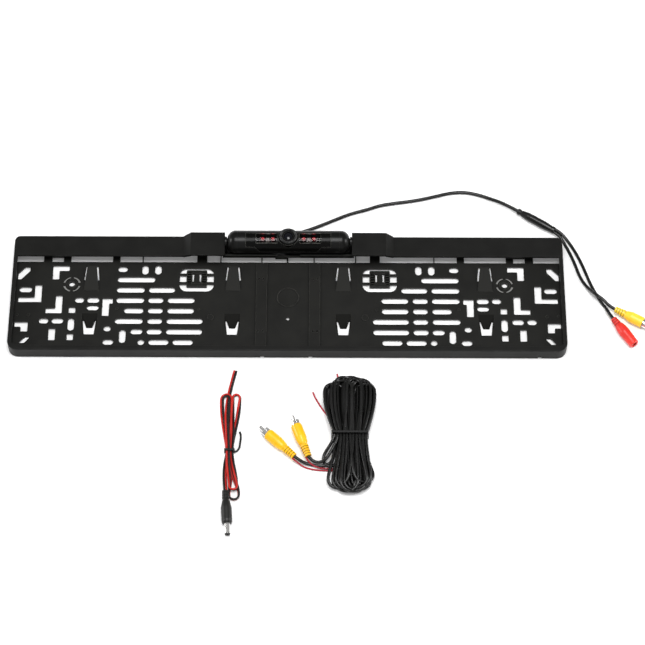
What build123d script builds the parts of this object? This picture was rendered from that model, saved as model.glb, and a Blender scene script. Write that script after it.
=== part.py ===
from build123d import *
import math
import os

# Number plate frame with a tilting backup camera, its pigtail and its two loose leads.
# The frame lies on its back: +Z points away from the vehicle, +Y towards the camera bar and X across.
# This file measures Y from the outer face of the lower wall and Z from the face against the vehicle.
# The pieces are written with their origin midway between the two bolt bosses, on that same face.

os.makedirs("parts", exist_ok=True)

# ---------------------------------------------------------------- front frame
FRAME_WIDTH = 534.0            # over the side walls
FRAME_DEPTH = 127.5            # from the lower wall to the back of the camera bar
FRAME_HEIGHT = 14.8            # top of the rims and of the low bar
WALL = 2.0
TOP_THICKNESS = 2.2
FLOOR_GAP = 0.6                # the front frame stays this far off the vehicle
FRONT_RIM = 5.0                # width of the lip over the plate, along the lower edge
SIDE_RIM = 3.9
BAR_DEPTH = 22.5
LOWER_CORNER_RADIUS = 10.0
UPPER_CORNER_RADIUS = 5.5
WINDOW_CORNER_RADIUS = 5.0
EDGE_ROUNDING = 0.8
RAISED_FOOT_HALF = 102.5       # raised middle of the bar, at the foot of its slopes
RAISED_TOP_HALF = 95.0
RAISED_HEIGHT = 22.0
RAISED_OVERHANG = 3.2          # the raised middle's top stands this far over the plate
REAR_WALL_BOTTOM = 4.0
PRY_NOTCHES = (-24.0, 22.0, 241.0)
PRY_NOTCH_WIDTH = 3.4
PRY_NOTCH_HEIGHT = 2.0

# ---------------------------------------------------------------- tray
TRAY_GAP = 0.5                 # between the tray's edge and the walls of the front frame
SHEET_THICKNESS = 1.6
SHEET_TOP = 3.5
SKIRT_THICKNESS = 1.4
TRAY_REAR_GAP = 0.4            # between the tray and the line of the bar's front edge
REAR_CHAMFER = 0.6
SLOT_WIDTH = 6.2
FIRST_ROW = 15.0               # centre of the lowest row of slots
ROW_PITCH = 11.63
STRIP_INNER = 20.5             # the two raised strips beside the middle
STRIP_OUTER = 31.0
STRIP_RISE = 1.2
STRIP_HOLE_RADIUS = 0.9
DISC_Y = 65.0
DISC_RADIUS = 10.8
DISC_RISE = 0.5
CENTRE_HOLE_Y = 41.4
CENTRE_HOLE_RADIUS = 1.7
BOLT_X = 210.0                 # the two ring bosses for the vehicle's screws
BOLT_Y = 79.5
BOLT_HOLE_RADIUS = 3.0
BOLT_BOSS_RADIUS = 5.2
BOLT_RING_RADIUS = 7.6
BOLT_RING_SLOT = 1.8
BOLT_RING_SPAN = 68.0          # degrees of each of the four arc slots
FINGER_XS = (-142.0, -66.0, -26.0, 25.0, 65.6, 142.0)
FINGER_WIDTH = 1.0
FINGER_REACH = 16.0
RIB_ROWS = (0.5, 3.5, 6.5)     # stiffening ribs under the sheet, in rows of slots
RIB_THICKNESS = 1.2

# Slots of one half of the tray, as spans of the distance from the middle, by row.
SLOT_ROWS = {
    0: ((90.8, 110.1), (114.1, 133.3), (137.3, 143.7), (167.1, 177.1)),
    1: ((82.2, 116.7), (121.0, 135.4), (139.5, 150.9)),
    2: ((82.0, 116.6), (121.0, 135.1), (139.7, 166.4), (216.2, 227.3), (230.6, 239.7)),
    3: ((90.7, 116.3), (120.8, 135.0), (139.5, 158.1)),
    4: ((90.4, 116.3), (120.6, 135.2), (139.2, 166.0), (182.6, 194.2), (197.3, 206.0)),
    5: ((109.7, 134.9), (139.0, 166.0), (248.2, 260.4)),
    6: ((129.2, 165.7),),
    7: ((156.5, 165.7),),
}
EXTRA_SLOTS = ((182.8, 194.2, 53.2), (170.0, 176.9, 29.8))   # from, to, height up the tray
# Upright slots: distance from the middle, lower end, upper end, width.
UPRIGHT_SLOTS = (
    (158.5, 14.0, 28.8, SLOT_WIDTH), (208.6, 27.4, 41.4, SLOT_WIDTH),
    (139.2, 90.6, 101.0, SLOT_WIDTH), (126.6, 90.6, 101.0, SLOT_WIDTH),
)
# Plain openings with square corners: distance from the middle, height, width, depth.
SQUARE_OPENINGS = ((226.5, 23.4, 6.4, 13.2), (208.4, 50.3, 6.4, 6.7), (208.9, 20.6, 6.2, 7.4))
# Angled openings: outlines in the half on the right of the middle.
ANGLED_OPENINGS = (
    ((213.2, 94.3), (213.2, 100.4), (229.2, 100.4), (229.2, 84.6), (222.8, 84.6), (222.8, 94.3)),
    ((238.7, 59.0), (238.7, 78.6), (245.4, 78.6), (245.4, 64.8), (261.0, 64.8), (261.0, 59.0)),
    ((218.2, 46.7), (218.2, 66.7), (224.8, 66.7), (224.8, 52.6), (233.9, 52.6), (233.9, 46.7)),
    ((172.8, 43.8), (172.8, 57.6), (169.5, 57.6), (169.5, 63.7), (179.4, 63.7), (179.4, 43.8)),
    ((250.1, 26.2), (250.1, 37.2), (262.8, 37.2), (262.8, 31.4), (256.8, 31.4), (256.8, 26.2)),
    ((251.4, 98.8), (256.0, 98.8), (263.0, 91.0), (263.0, 84.6), (259.6, 84.6), (251.4, 94.0)),
    ((248.1, 21.2), (252.0, 21.2), (258.2, 13.4), (252.6, 13.4), (248.1, 18.8)),
)
OPENING_ROUNDING = 0.9

TONGUE_XS = (53.5, 191.0)      # four hooks over the plate, four springs behind it
HOOK_FOOT_Y = 72.0
HOOK_TIP_Y = 98.4
HOOK_FOOT_WIDTH = 14.8
HOOK_TIP_WIDTH = 9.0
HOOK_RISE = 2.6
HOOK_SLIT = 1.3
HOOK_SLIT_END_Y = 84.0         # the slits stop here, and the tongue joins the sheet below
HOOK_STEP = 0.4                # the tongue stands this far proud at its foot
SPRING_FOOT_Y = 46.5
SPRING_TIP_Y = 32.0
SPRING_WINDOW_Y = 23.3
SPRING_NECK_Y = 39.4           # full width down to here, then narrower between two slits
SPRING_FOOT_WIDTH = 14.8
SPRING_NECK_WIDTH = 10.8
SPRING_TIP_WIDTH = 5.8
SPRING_WINDOW_WIDTH = 13.0
SPRING_WINDOW_TIP_WIDTH = 9.4
SPRING_DROP = 2.4
PAD_X = 88.9                   # flexible pads in rounded windows near the top edge
PAD_Y = 84.6
PAD_WINDOW = (33.0, 26.0)
PAD_WINDOW_RADIUS = 7.0
PAD_SIZE = (20.0, 18.0)
PAD_OFFSET_Y = 1.2
PAD_TOP = 4.5
PAD_BOTTOM = 1.2
PAD_ARM_WIDTH = 2.4
PAD_ARM_PITCH = 9.6
PAD_KEYHOLE_PITCH = 7.0        # two keyholes beside the pad's low tongue
PAD_KEYHOLE_RADIUS = 1.5
PAD_KEYHOLE_LEG = 1.4
PAD_KEYHOLE_Y = (-3.4, 4.6)
PAD_WELL_XS = (-7.15, 7.15)
PAD_WELL = (3.9, 14.0)
PAD_WELL_DEPTH = 2.4
PAD_FIN_PITCH = 2.8
PAD_FIN_THICKNESS = 0.7
SPRUE_MARKS = (
    (74.5, 42.5, 3.2), (85.9, 51.0, 1.3), (165.1, 51.9, 1.5), (250.0, 44.3, 1.6), (261.0, 44.9, 1.4),
)
SPRUE_RISE = 0.5

# ---------------------------------------------------------------- hinge of the front frame
HINGE_INSET = 5.0              # hinge axis from the back of the frame
HINGE_HEIGHT = 5.5
HINGE_RADIUS = 2.6
HINGE_PIN_RADIUS = 1.25
HINGE_BORE_GAP = 0.06
HINGE_SIDE_GAP = 0.4
LUG_WIDTH = 3.0
ARM_BOTTOM = 1.0
HINGE_ARMS = ((79.4, 89.1), (164.3, 171.4), (212.2, 219.4), (230.7, 238.8))
ARM_WEB = (110.5, 114.0)       # web between the two outer arms
HINGE_NOTCH_HEIGHT = 9.0

# ---------------------------------------------------------------- camera pod
POD_INSET = 10.0               # pod axis from the back of the frame
POD_HEIGHT = 20.6
POD_RADIUS = 11.2
POD_HALF_LENGTH = 59.3
POD_END_ROUNDING = 8.2
POD_WALL = 1.6
POD_END_WALL = 2.4
CAP_SEAM = 49.5                # end caps begin here
CAP_SPIGOT = 4.6
SPIGOT_WALL = 1.3
SPIGOT_GAP = 0.08
CAP_SCREW_X = 45.9
CAP_SCREW_RADIUS = 0.85
CAP_SCREW_ANGLES = (84.0, 103.0)
SEAM_GAP = 0.12
COVER_HALF = 41.5              # front cover, its stepped lower seam and its back edge
COVER_STEP_OUTER = 32.4
COVER_STEP_INNER = 27.7
COVER_STEP_RISE = 5.7
COVER_BACK = 3.7
BOSS_RADIUS = 9.75             # round housing of the lens on the cover
BOSS_TOP = 9.6
CHIN_DROP = 8.1
BOSS_BORE = 7.6
WINDOW_INNER = 10.9            # smoked windows in front of the lamps
WINDOW_OUTER = 31.4
WINDOW_FRONT = 6.6
WINDOW_BACK = 3.0
LENS_RING_RADIUS = 8.5
LENS_RING_INNER = 6.45
LENS_RING_TOP = 11.9
BARREL_RADIUS = 6.2
BARREL_BORE = 4.0
BARREL_TOP = 11.2
BARREL_BOTTOM = -0.8
GLASS_RADIUS = 4.52
GLASS_SIDE_GAP = 0.08
REAR_GLASS_GAP = 0.05
REAR_GLASS_THICKNESS = 2.0
GLASS_EDGE = 9.2
GLASS_RIM = 10.5
GLASS_CROWN = 11.9
SEAL_RADIUS = 0.66
HOLDER_SIZE = 13.0
HOLDER_NECK_RADIUS = 7.3
HOLDER_NECK_TOP = 3.0
BOARD_THICKNESS = 1.2
SENSOR_BOARD = (18.0, 13.4)
SENSOR_BOARD_TOP = -4.0
SENSOR_SIZE = 7.0
SENSOR_THICKNESS = 0.8
LAMP_BOARD_INNER = 11.0
LAMP_BOARD_OUTER = 33.0
LAMP_BOARD_DEPTH = 12.0
LAMP_BOARD_TOP = 0.6
LAMP_XS = (15.0, 24.8)
LAMP_RADIUS = 2.5
LAMP_BODY = 3.6
REFLECTOR_FOOT = 3.2
REFLECTOR_MOUTH = 4.55
REFLECTOR_HEIGHT = 3.4
REFLECTOR_WALL = 0.5
POST_RADIUS = 1.2
GLAND_X = -8.0
GLAND_RADIUS = 2.2
GLAND_ANGLE = -60.0
GLAND_REACH = 12.3

# ---------------------------------------------------------------- trough and pivots of the pod
TROUGH_INNER = 13.2
TROUGH_OUTER = 15.2
POD_SLOT_HALF = 61.8           # half length of the slot in the bar
CHEEK_WALL = 2.0
TROUGH_FRONT_TOP = 15.4
TROUGH_REAR_TOP = 11.9
TROUGH_FRONT_BOTTOM = 11.4
CHIN_NOTCH_HALF = 11.5
CHIN_NOTCH_TOP = 12.6
CABLE_NOTCH = (-15.0, 0.6)
CABLE_NOTCH_Y = 119.0
BRACKET_INNER = 11.9           # saddle of each pivot bracket
BRACKET_GAP = 0.05
BRACKET_START = 30.0
BRACKET_ANGLES = (-115.0, -62.0)
EAR_SIDE_GAP = 0.6             # from the pod's end to the ear
EAR_THICKNESS = 1.8
EAR_RADIUS = 5.2
PIVOT_RADIUS = 1.5
PIVOT_BORE_GAP = 0.06
PIVOT_DEPTH = 5.0
PIVOT_BOSS_RADIUS = 3.6
WASHER_RADIUS = 2.9
WASHER_THICKNESS = 0.36
BRACKET_SCREW_XS = (38.0, 52.0)
BRACKET_SCREW_RADIUS = 1.0
BRACKET_SCREW_HEAD = (1.9, 1.1)

# ---------------------------------------------------------------- cords
ARC_SHARE = 0.45               # an arc takes this share of the shorter run beside it
FLOOR_CLEAR = 0.05
PIGTAIL_DIAMETER = 3.4
TAIL_DIAMETER = 3.1
WIRE_DIAMETER = 2.0
TRIGGER_DIAMETER = 1.6
GROMMET_CENTRE = (-7.0, 130.9)
GROMMET_SIZE = (10.0, 7.6, 4.8)
GROMMET_ANGLE = 28.0
CABLE_ARM = (-13.0, -2.0)
CABLE_NECK = (-1.8, -0.2)      # narrow root of the cable arm, then the arm itself
CABLE_ARM_START = 110.0
CABLE_ARM_TOP = 2.3
CABLE_ARM_REACH = 128.4
SPLITTER_LENGTH = 42.0
SPLITTER_RADIUS = 4.1
SPLITTER_COLLAR_RADIUS = 3.0
SPLITTER_END_RADIUS = 3.3      # end face that both tails leave
TAIL_OFFSET = 1.62

PLUG_AXIS_Z = 5.35             # plugs lie on the widest part of their grips

# ---------------------------------------------------------------- worked out from the above
FRAME_HALF = FRAME_WIDTH / 2
BAR_FRONT = FRAME_DEPTH - BAR_DEPTH
HINGE_Y = FRAME_DEPTH - HINGE_INSET
POD_Y = FRAME_DEPTH - POD_INSET
TRAY_HALF = FRAME_HALF - WALL - TRAY_GAP
TRAY_FRONT = WALL + TRAY_GAP
TRAY_REAR = BAR_FRONT - TRAY_REAR_GAP
SHEET_BOTTOM = SHEET_TOP - SHEET_THICKNESS
EAR_START = POD_HALF_LENGTH + EAR_SIDE_GAP
BOTH_SIDES = (-1, 1)


def write_piece(builder, name):
    """Label a finished piece, move it to the origin between the bolts and write it to its own file."""
    piece = builder.part.moved(Location((0, -BOLT_Y, 0)))
    piece.label = name
    export_step(piece, f"parts/{name}.step")


def row_y(row):
    """Height up the tray of the centre of a row of slots."""
    return FIRST_ROW + ROW_PITCH * row


def mirrored(outline, side):
    """The corners of an outline, turned to one side of the middle."""
    return [(side * x, y) for x, y in outline][::side]


# ================================================================ front frame
def frame_outline():
    """Outline of the front frame, seen from above, inside a sketch."""
    with Locations((0, FRAME_DEPTH / 2)):
        Rectangle(FRAME_WIDTH, FRAME_DEPTH)


def raised_profile(inset):
    """Trapezoid of the raised middle in the XZ plane; inset gives its hollow."""
    slope = math.atan2(RAISED_HEIGHT - FRAME_HEIGHT, RAISED_FOOT_HALF - RAISED_TOP_HALF)
    shift = inset * math.tan(slope / 2)
    foot, top = RAISED_FOOT_HALF - shift, RAISED_TOP_HALF - shift
    low, knee, high = FRAME_HEIGHT - inset - TOP_THICKNESS, FRAME_HEIGHT - inset, RAISED_HEIGHT - inset
    Polygon((-foot, low), (foot, low), (foot, knee), (top, high), (-top, high), (-foot, knee), align=None)


def raised_middle():
    """Raised middle before it is hollowed; its front edge stands out over the plate between the slopes."""
    front = BAR_FRONT - RAISED_OVERHANG
    with BuildPart() as middle:
        with BuildSketch(Plane.XZ.offset(-FRAME_DEPTH)):
            raised_profile(0)
        extrude(amount=BAR_DEPTH + RAISED_OVERHANG)
        with BuildSketch(Plane.XY):
            Polygon(
                (-RAISED_FOOT_HALF, BAR_FRONT), (-RAISED_TOP_HALF, front), (RAISED_TOP_HALF, front),
                (RAISED_FOOT_HALF, BAR_FRONT), (RAISED_FOOT_HALF, FRAME_DEPTH),
                (-RAISED_FOOT_HALF, FRAME_DEPTH), align=None,
            )
        extrude(amount=2 * RAISED_HEIGHT, mode=Mode.INTERSECT)
    return middle.part


def pod_disc(radius, half_length, centre_x=0.0):
    """Cylinder along the pod's axis, for a trough, a saddle or a cut."""
    with BuildPart() as disc:
        with BuildSketch(Plane.YZ.offset(centre_x - half_length)):
            with Locations((POD_Y, POD_HEIGHT)):
                Circle(radius)
        extrude(amount=2 * half_length)
    return disc.part


def trough():
    """Half round trough under the pod, with a low wall in front and one behind."""
    half = POD_SLOT_HALF + CHEEK_WALL
    bottom = POD_HEIGHT - TROUGH_OUTER
    with BuildPart() as body:
        add(pod_disc(TROUGH_OUTER, half))
        with BuildSketch(Plane.YZ.offset(-half)):
            with Locations((BAR_FRONT, bottom)):
                Rectangle(BAR_DEPTH, RAISED_HEIGHT - bottom, align=(Align.MIN, Align.MIN))
        extrude(amount=2 * half, mode=Mode.INTERSECT)
        with BuildSketch(Plane.YZ.offset(-half)):
            with Locations((BAR_FRONT, TROUGH_FRONT_BOTTOM)):
                Rectangle(WALL, TROUGH_FRONT_TOP - TROUGH_FRONT_BOTTOM, align=(Align.MIN, Align.MIN))
            with Locations((FRAME_DEPTH, REAR_WALL_BOTTOM)):
                Rectangle(WALL, TROUGH_REAR_TOP - REAR_WALL_BOTTOM, align=(Align.MAX, Align.MIN))
        extrude(amount=2 * half)
        # the hollow that the pod lies in
        add(trough_hollow(), mode=Mode.SUBTRACT)
        # room for the chin of the lens housing
        with BuildSketch(Plane.XY.offset(CHIN_NOTCH_TOP)):
            with Locations((0, BAR_FRONT)):
                Rectangle(2 * CHIN_NOTCH_HALF, 2 * WALL + 1)
        extrude(amount=RAISED_HEIGHT, mode=Mode.SUBTRACT)
    return body.part


def trough_hollow():
    """Space inside the trough, between its front wall and its rear wall."""
    with BuildPart() as hollow:
        add(pod_disc(TROUGH_INNER, POD_SLOT_HALF))
        with BuildSketch(Plane.YZ.offset(-POD_SLOT_HALF)):
            with Locations((BAR_FRONT + WALL, 0)):
                Rectangle(BAR_DEPTH - 2 * WALL, 3 * RAISED_HEIGHT, align=(Align.MIN, Align.MIN))
        extrude(amount=2 * POD_SLOT_HALF, mode=Mode.INTERSECT)
        with BuildSketch(Plane.YZ.offset(-POD_SLOT_HALF)):
            with Locations((BAR_FRONT - 1, TROUGH_FRONT_TOP)):
                Rectangle(BAR_DEPTH / 2, 2 * RAISED_HEIGHT, align=(Align.MIN, Align.MIN))
            with Locations((FRAME_DEPTH + 1, TROUGH_REAR_TOP)):
                Rectangle(BAR_DEPTH / 2, 2 * RAISED_HEIGHT, align=(Align.MAX, Align.MIN))
        extrude(amount=2 * POD_SLOT_HALF)
    return hollow.part


def frame_lugs():
    """Hinge lugs that hang from the bar on both sides of each tray arm."""
    with BuildPart() as lugs:
        for inner, outer in HINGE_ARMS:
            # the raised middle carries its lugs from higher up
            top = RAISED_HEIGHT if outer + LUG_WIDTH < RAISED_TOP_HALF else FRAME_HEIGHT
            starts = (inner - HINGE_SIDE_GAP - LUG_WIDTH, outer + HINGE_SIDE_GAP)
            for side in BOTH_SIDES:
                for start in starts:
                    left = min(side * start, side * (start + LUG_WIDTH))
                    with BuildSketch(Plane.YZ.offset(left)):
                        with Locations((HINGE_Y, HINGE_HEIGHT)):
                            Circle(HINGE_RADIUS)
                            Rectangle(2 * HINGE_RADIUS, top - TOP_THICKNESS / 2 - HINGE_HEIGHT,
                                      align=(Align.CENTER, Align.MIN))
                            Circle(HINGE_PIN_RADIUS + HINGE_BORE_GAP, mode=Mode.SUBTRACT)
                    extrude(amount=LUG_WIDTH)
    return lugs.part


def front_frame():
    """Rims, camera bar, trough and hinge lugs, moulded as one."""
    with BuildPart() as frame:
        with BuildSketch(Plane.XY.offset(FLOOR_GAP)) as outline:
            frame_outline()
            fillet(outline.vertices().group_by(Axis.Y)[0], LOWER_CORNER_RADIUS)
            fillet(outline.vertices().group_by(Axis.Y)[-1], UPPER_CORNER_RADIUS)
        extrude(amount=FRAME_HEIGHT - FLOOR_GAP)
        fillet(frame.edges().group_by(Axis.Z)[-1], EDGE_ROUNDING)
        # hollow under the rims and the bar
        with BuildSketch(Plane.XY.offset(FLOOR_GAP)) as hollow:
            with Locations((0, FRAME_DEPTH / 2)):
                Rectangle(FRAME_WIDTH - 2 * WALL, FRAME_DEPTH - 2 * WALL)
            fillet(hollow.vertices().group_by(Axis.Y)[0], LOWER_CORNER_RADIUS - WALL)
            fillet(hollow.vertices().group_by(Axis.Y)[-1], UPPER_CORNER_RADIUS - WALL)
        extrude(amount=FRAME_HEIGHT - TOP_THICKNESS - FLOOR_GAP, mode=Mode.SUBTRACT)
        # the opening that shows the plate
        with BuildSketch(Plane.XY.offset(FLOOR_GAP)) as window:
            with Locations((0, FRONT_RIM)):
                Rectangle(FRAME_WIDTH - 2 * SIDE_RIM, BAR_FRONT - FRONT_RIM, align=(Align.CENTER, Align.MIN))
            fillet(window.vertices().group_by(Axis.Y)[0], WINDOW_CORNER_RADIUS)
        extrude(amount=FRAME_HEIGHT, mode=Mode.SUBTRACT)
        # raised middle, then its hollow
        add(raised_middle())
        with BuildSketch(Plane.XZ.offset(WALL - FRAME_DEPTH)):
            raised_profile(TOP_THICKNESS)
        extrude(amount=BAR_DEPTH + RAISED_OVERHANG, mode=Mode.SUBTRACT)
        # the slot for the pod, then the trough under it
        with BuildSketch(Plane.XY.offset(0)):
            with Locations((0, FRAME_DEPTH + 1)):
                Rectangle(2 * POD_SLOT_HALF, BAR_DEPTH + RAISED_OVERHANG + 2, align=(Align.CENTER, Align.MAX))
        extrude(amount=2 * RAISED_HEIGHT, mode=Mode.SUBTRACT)
        add(trough())
        add(frame_lugs())
        # the rear wall stops short of the vehicle, and lower still beside the hinges
        with BuildSketch(Plane.XY):
            with Locations((0, FRAME_DEPTH + 1)):
                Rectangle(FRAME_WIDTH - 2 * UPPER_CORNER_RADIUS, WALL + 1.5, align=(Align.CENTER, Align.MAX))
        extrude(amount=REAR_WALL_BOTTOM, mode=Mode.SUBTRACT)
        for side in BOTH_SIDES:
            for inner, outer in HINGE_ARMS:
                with BuildSketch(Plane.XY):
                    with Locations((side * (inner + outer) / 2, FRAME_DEPTH + 1)):
                        Rectangle(outer - inner + 2 * HINGE_SIDE_GAP, WALL + 1.2,
                                  align=(Align.CENTER, Align.MAX))
                extrude(amount=HINGE_NOTCH_HEIGHT, mode=Mode.SUBTRACT)
        # way out for the camera's cable
        with BuildSketch(Plane.XY):
            with Locations(((CABLE_NOTCH[0] + CABLE_NOTCH[1]) / 2, CABLE_NOTCH_Y)):
                Rectangle(CABLE_NOTCH[1] - CABLE_NOTCH[0], BAR_DEPTH, align=(Align.CENTER, Align.MIN))
        extrude(amount=2 * RAISED_HEIGHT, mode=Mode.SUBTRACT)
        # screw holes of the pivot brackets
        for side in BOTH_SIDES:
            with Locations(*[(side * x, POD_Y, POD_HEIGHT - TROUGH_OUTER) for x in BRACKET_SCREW_XS]):
                Cylinder(BRACKET_SCREW_RADIUS, 3 * WALL, mode=Mode.SUBTRACT)
        # notches for a screwdriver in the lower wall
        with BuildSketch(Plane.XZ):
            for x in PRY_NOTCHES:
                with Locations((x, FLOOR_GAP)):
                    Rectangle(PRY_NOTCH_WIDTH, 2 * PRY_NOTCH_HEIGHT)
        extrude(amount=-2 * WALL, mode=Mode.SUBTRACT)
    write_piece(frame, "front_frame")


# ================================================================ tray
def hook_profile(x, start_y, grow):
    """Outline of an upper tongue from a height up the tray, widened by grow for the slit around it."""
    share = (start_y - HOOK_FOOT_Y) / (HOOK_TIP_Y - HOOK_FOOT_Y)
    tip = HOOK_TIP_WIDTH / 2 + grow
    foot = HOOK_FOOT_WIDTH / 2 + grow + share * (HOOK_TIP_WIDTH - HOOK_FOOT_WIDTH) / 2
    Polygon(
        (x - foot, start_y), (x + foot, start_y),
        (x + tip, HOOK_TIP_Y + grow), (x - tip, HOOK_TIP_Y + grow), align=None,
    )


def hook(x):
    """Upper tongue: rises from its foot towards the camera bar and keeps the plate's screws clear."""
    length = HOOK_TIP_Y - HOOK_FOOT_Y
    with BuildPart() as tongue:
        with BuildSketch(Plane.XY):
            hook_profile(x, HOOK_FOOT_Y, 0)
        extrude(amount=SHEET_TOP + HOOK_RISE)
        with BuildSketch(Plane.YZ.offset(x - HOOK_FOOT_WIDTH)):
            Polygon(
                (HOOK_FOOT_Y, SHEET_BOTTOM), (HOOK_FOOT_Y + length, SHEET_BOTTOM + HOOK_RISE),
                (HOOK_FOOT_Y + length, SHEET_TOP + HOOK_RISE), (HOOK_FOOT_Y, SHEET_TOP + HOOK_STEP),
                align=None,
            )
        extrude(amount=2 * HOOK_FOOT_WIDTH, mode=Mode.INTERSECT)
    return tongue.part


def spring_profile(x, neck_width, tip_y, tip_width):
    """Full width from the foot to the neck, then a trapezoid that narrows towards the tray's lower edge."""
    with Locations((x, SPRING_FOOT_Y)):
        Rectangle(SPRING_FOOT_WIDTH, SPRING_FOOT_Y - SPRING_NECK_Y, align=(Align.CENTER, Align.MAX))
    Polygon(
        (x - neck_width / 2, SPRING_NECK_Y), (x + neck_width / 2, SPRING_NECK_Y),
        (x + tip_width / 2, tip_y), (x - tip_width / 2, tip_y), align=None,
    )


def spring(x):
    """Lower tongue: bends down behind the sheet and presses on the vehicle."""
    with BuildPart() as tongue:
        with BuildSketch(Plane.XY):
            spring_profile(x, SPRING_NECK_WIDTH, SPRING_TIP_Y, SPRING_TIP_WIDTH)
        extrude(amount=SHEET_TOP)
        with BuildSketch(Plane.YZ.offset(x - SPRING_FOOT_WIDTH)):
            Polygon(
                (SPRING_FOOT_Y, SHEET_BOTTOM), (SPRING_FOOT_Y, SHEET_TOP),
                (SPRING_TIP_Y, SHEET_TOP - SPRING_DROP), (SPRING_TIP_Y, 0),
                (SPRING_TIP_Y + 2, 0), align=None,
            )
        extrude(amount=2 * SPRING_FOOT_WIDTH, mode=Mode.INTERSECT)
    return tongue.part


def pad(x):
    """Flexible pad: a thick block on four arms across its window."""
    centre_y = PAD_Y + PAD_OFFSET_Y
    with BuildPart() as block:
        with BuildSketch(Plane.XY.offset(PAD_BOTTOM)):
            with Locations((x, centre_y)):
                RectangleRounded(*PAD_SIZE, 1.2)
        extrude(amount=PAD_TOP - PAD_BOTTOM)
        with BuildSketch(Plane.XY.offset(SHEET_BOTTOM)):
            for arm in BOTH_SIDES:
                with Locations((x, centre_y + arm * PAD_ARM_PITCH / 2)):
                    Rectangle(PAD_WINDOW[0] + 2, PAD_ARM_WIDTH)
        extrude(amount=SHEET_THICKNESS)
        # low tongue between two keyholes
        low, high = PAD_KEYHOLE_Y
        with BuildSketch(Plane.XY.offset(PAD_TOP - PAD_BOTTOM / 2)):
            with Locations((x, centre_y + (low + high) / 2 - 1)):
                Rectangle(PAD_KEYHOLE_PITCH + PAD_KEYHOLE_RADIUS, high - low + 3)
        extrude(amount=PAD_TOP, mode=Mode.SUBTRACT)
        with BuildSketch(Plane.XY):
            for hole in BOTH_SIDES:
                with Locations((x + hole * PAD_KEYHOLE_PITCH / 2, centre_y + high)):
                    Circle(PAD_KEYHOLE_RADIUS)
                with Locations((x + hole * PAD_KEYHOLE_PITCH / 2, centre_y + (low + high) / 2)):
                    Rectangle(PAD_KEYHOLE_LEG, high - low)
        extrude(amount=2 * PAD_TOP, mode=Mode.SUBTRACT)
        # ribbed wells beside the tongue
        with BuildSketch(Plane.XY.offset(PAD_TOP - PAD_WELL_DEPTH)):
            for well_x in PAD_WELL_XS:
                with Locations((x + well_x, centre_y)):
                    Rectangle(*PAD_WELL)
                for fin in (-2, -1, 0, 1, 2):
                    with Locations((x + well_x, centre_y + fin * PAD_FIN_PITCH)):
                        Rectangle(PAD_WELL[0] + 1, PAD_FIN_THICKNESS, mode=Mode.SUBTRACT)
        extrude(amount=PAD_TOP, mode=Mode.SUBTRACT)
    return block.part


def slot_openings(side):
    """All slots and openings of one half of the tray, inside a sketch."""
    spans = [(a, b, row_y(row)) for row, pairs in SLOT_ROWS.items() for a, b in pairs]
    for start, end, y in spans + list(EXTRA_SLOTS):
        with Locations((side * (start + end) / 2, y)):
            if end - start > SLOT_WIDTH + 0.3:
                SlotOverall(end - start, SLOT_WIDTH)
            else:
                Circle((end - start) / 2)
    for x, low, high, width in UPRIGHT_SLOTS:
        with Locations((side * x, (low + high) / 2)):
            SlotOverall(high - low, width, rotation=90)
    for x, y, width, depth in SQUARE_OPENINGS:
        with Locations((side * x, y)):
            RectangleRounded(width, depth, OPENING_ROUNDING)
    for outline in ANGLED_OPENINGS:
        with BuildSketch(mode=Mode.PRIVATE) as opening:
            Polygon(*mirrored(outline, side), align=None)
            fillet(opening.vertices(), OPENING_ROUNDING)
        add(opening.sketch)


def bolt_boss_openings(side):
    """Screw hole and its ring of four arc slots, inside a sketch."""
    with Locations((side * BOLT_X, BOLT_Y)):
        Circle(BOLT_HOLE_RADIUS)
    for quarter in range(4):
        start = 45 + 90 * quarter - BOLT_RING_SPAN / 2
        with BuildSketch(mode=Mode.PRIVATE) as arc_slot:
            with BuildLine():
                CenterArc((side * BOLT_X, BOLT_Y), BOLT_RING_RADIUS, start, BOLT_RING_SPAN)
            trace(line_width=BOLT_RING_SLOT)
        add(arc_slot.sketch)


def tray_arms():
    """Arms of the hinge, which reach from the sheet under the bar to the hinge pins."""
    with BuildPart() as arms:
        for side in BOTH_SIDES:
            for inner, outer in HINGE_ARMS:
                with BuildSketch(Plane.YZ.offset(min(side * inner, side * outer))):
                    with Locations((TRAY_REAR - 2, ARM_BOTTOM)):
                        Rectangle(HINGE_Y - TRAY_REAR + 2, SHEET_TOP - ARM_BOTTOM, align=Align.MIN)
                    with Locations((HINGE_Y, HINGE_HEIGHT)):
                        Circle(HINGE_RADIUS)
                        Circle(HINGE_PIN_RADIUS + HINGE_BORE_GAP, mode=Mode.SUBTRACT)
                extrude(amount=outer - inner)
            # web with an angled opening between the two outer arms
            web_inner, web_outer = HINGE_ARMS[2][1], HINGE_ARMS[3][0]
            with BuildSketch(Plane.XY.offset(ARM_BOTTOM)):
                with Locations((side * (web_inner + web_outer) / 2, ARM_WEB[0])):
                    Rectangle(web_outer - web_inner + 1, ARM_WEB[1] - ARM_WEB[0],
                              align=(Align.CENTER, Align.MIN))
            extrude(amount=SHEET_TOP - ARM_BOTTOM)
    return arms.part


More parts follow.
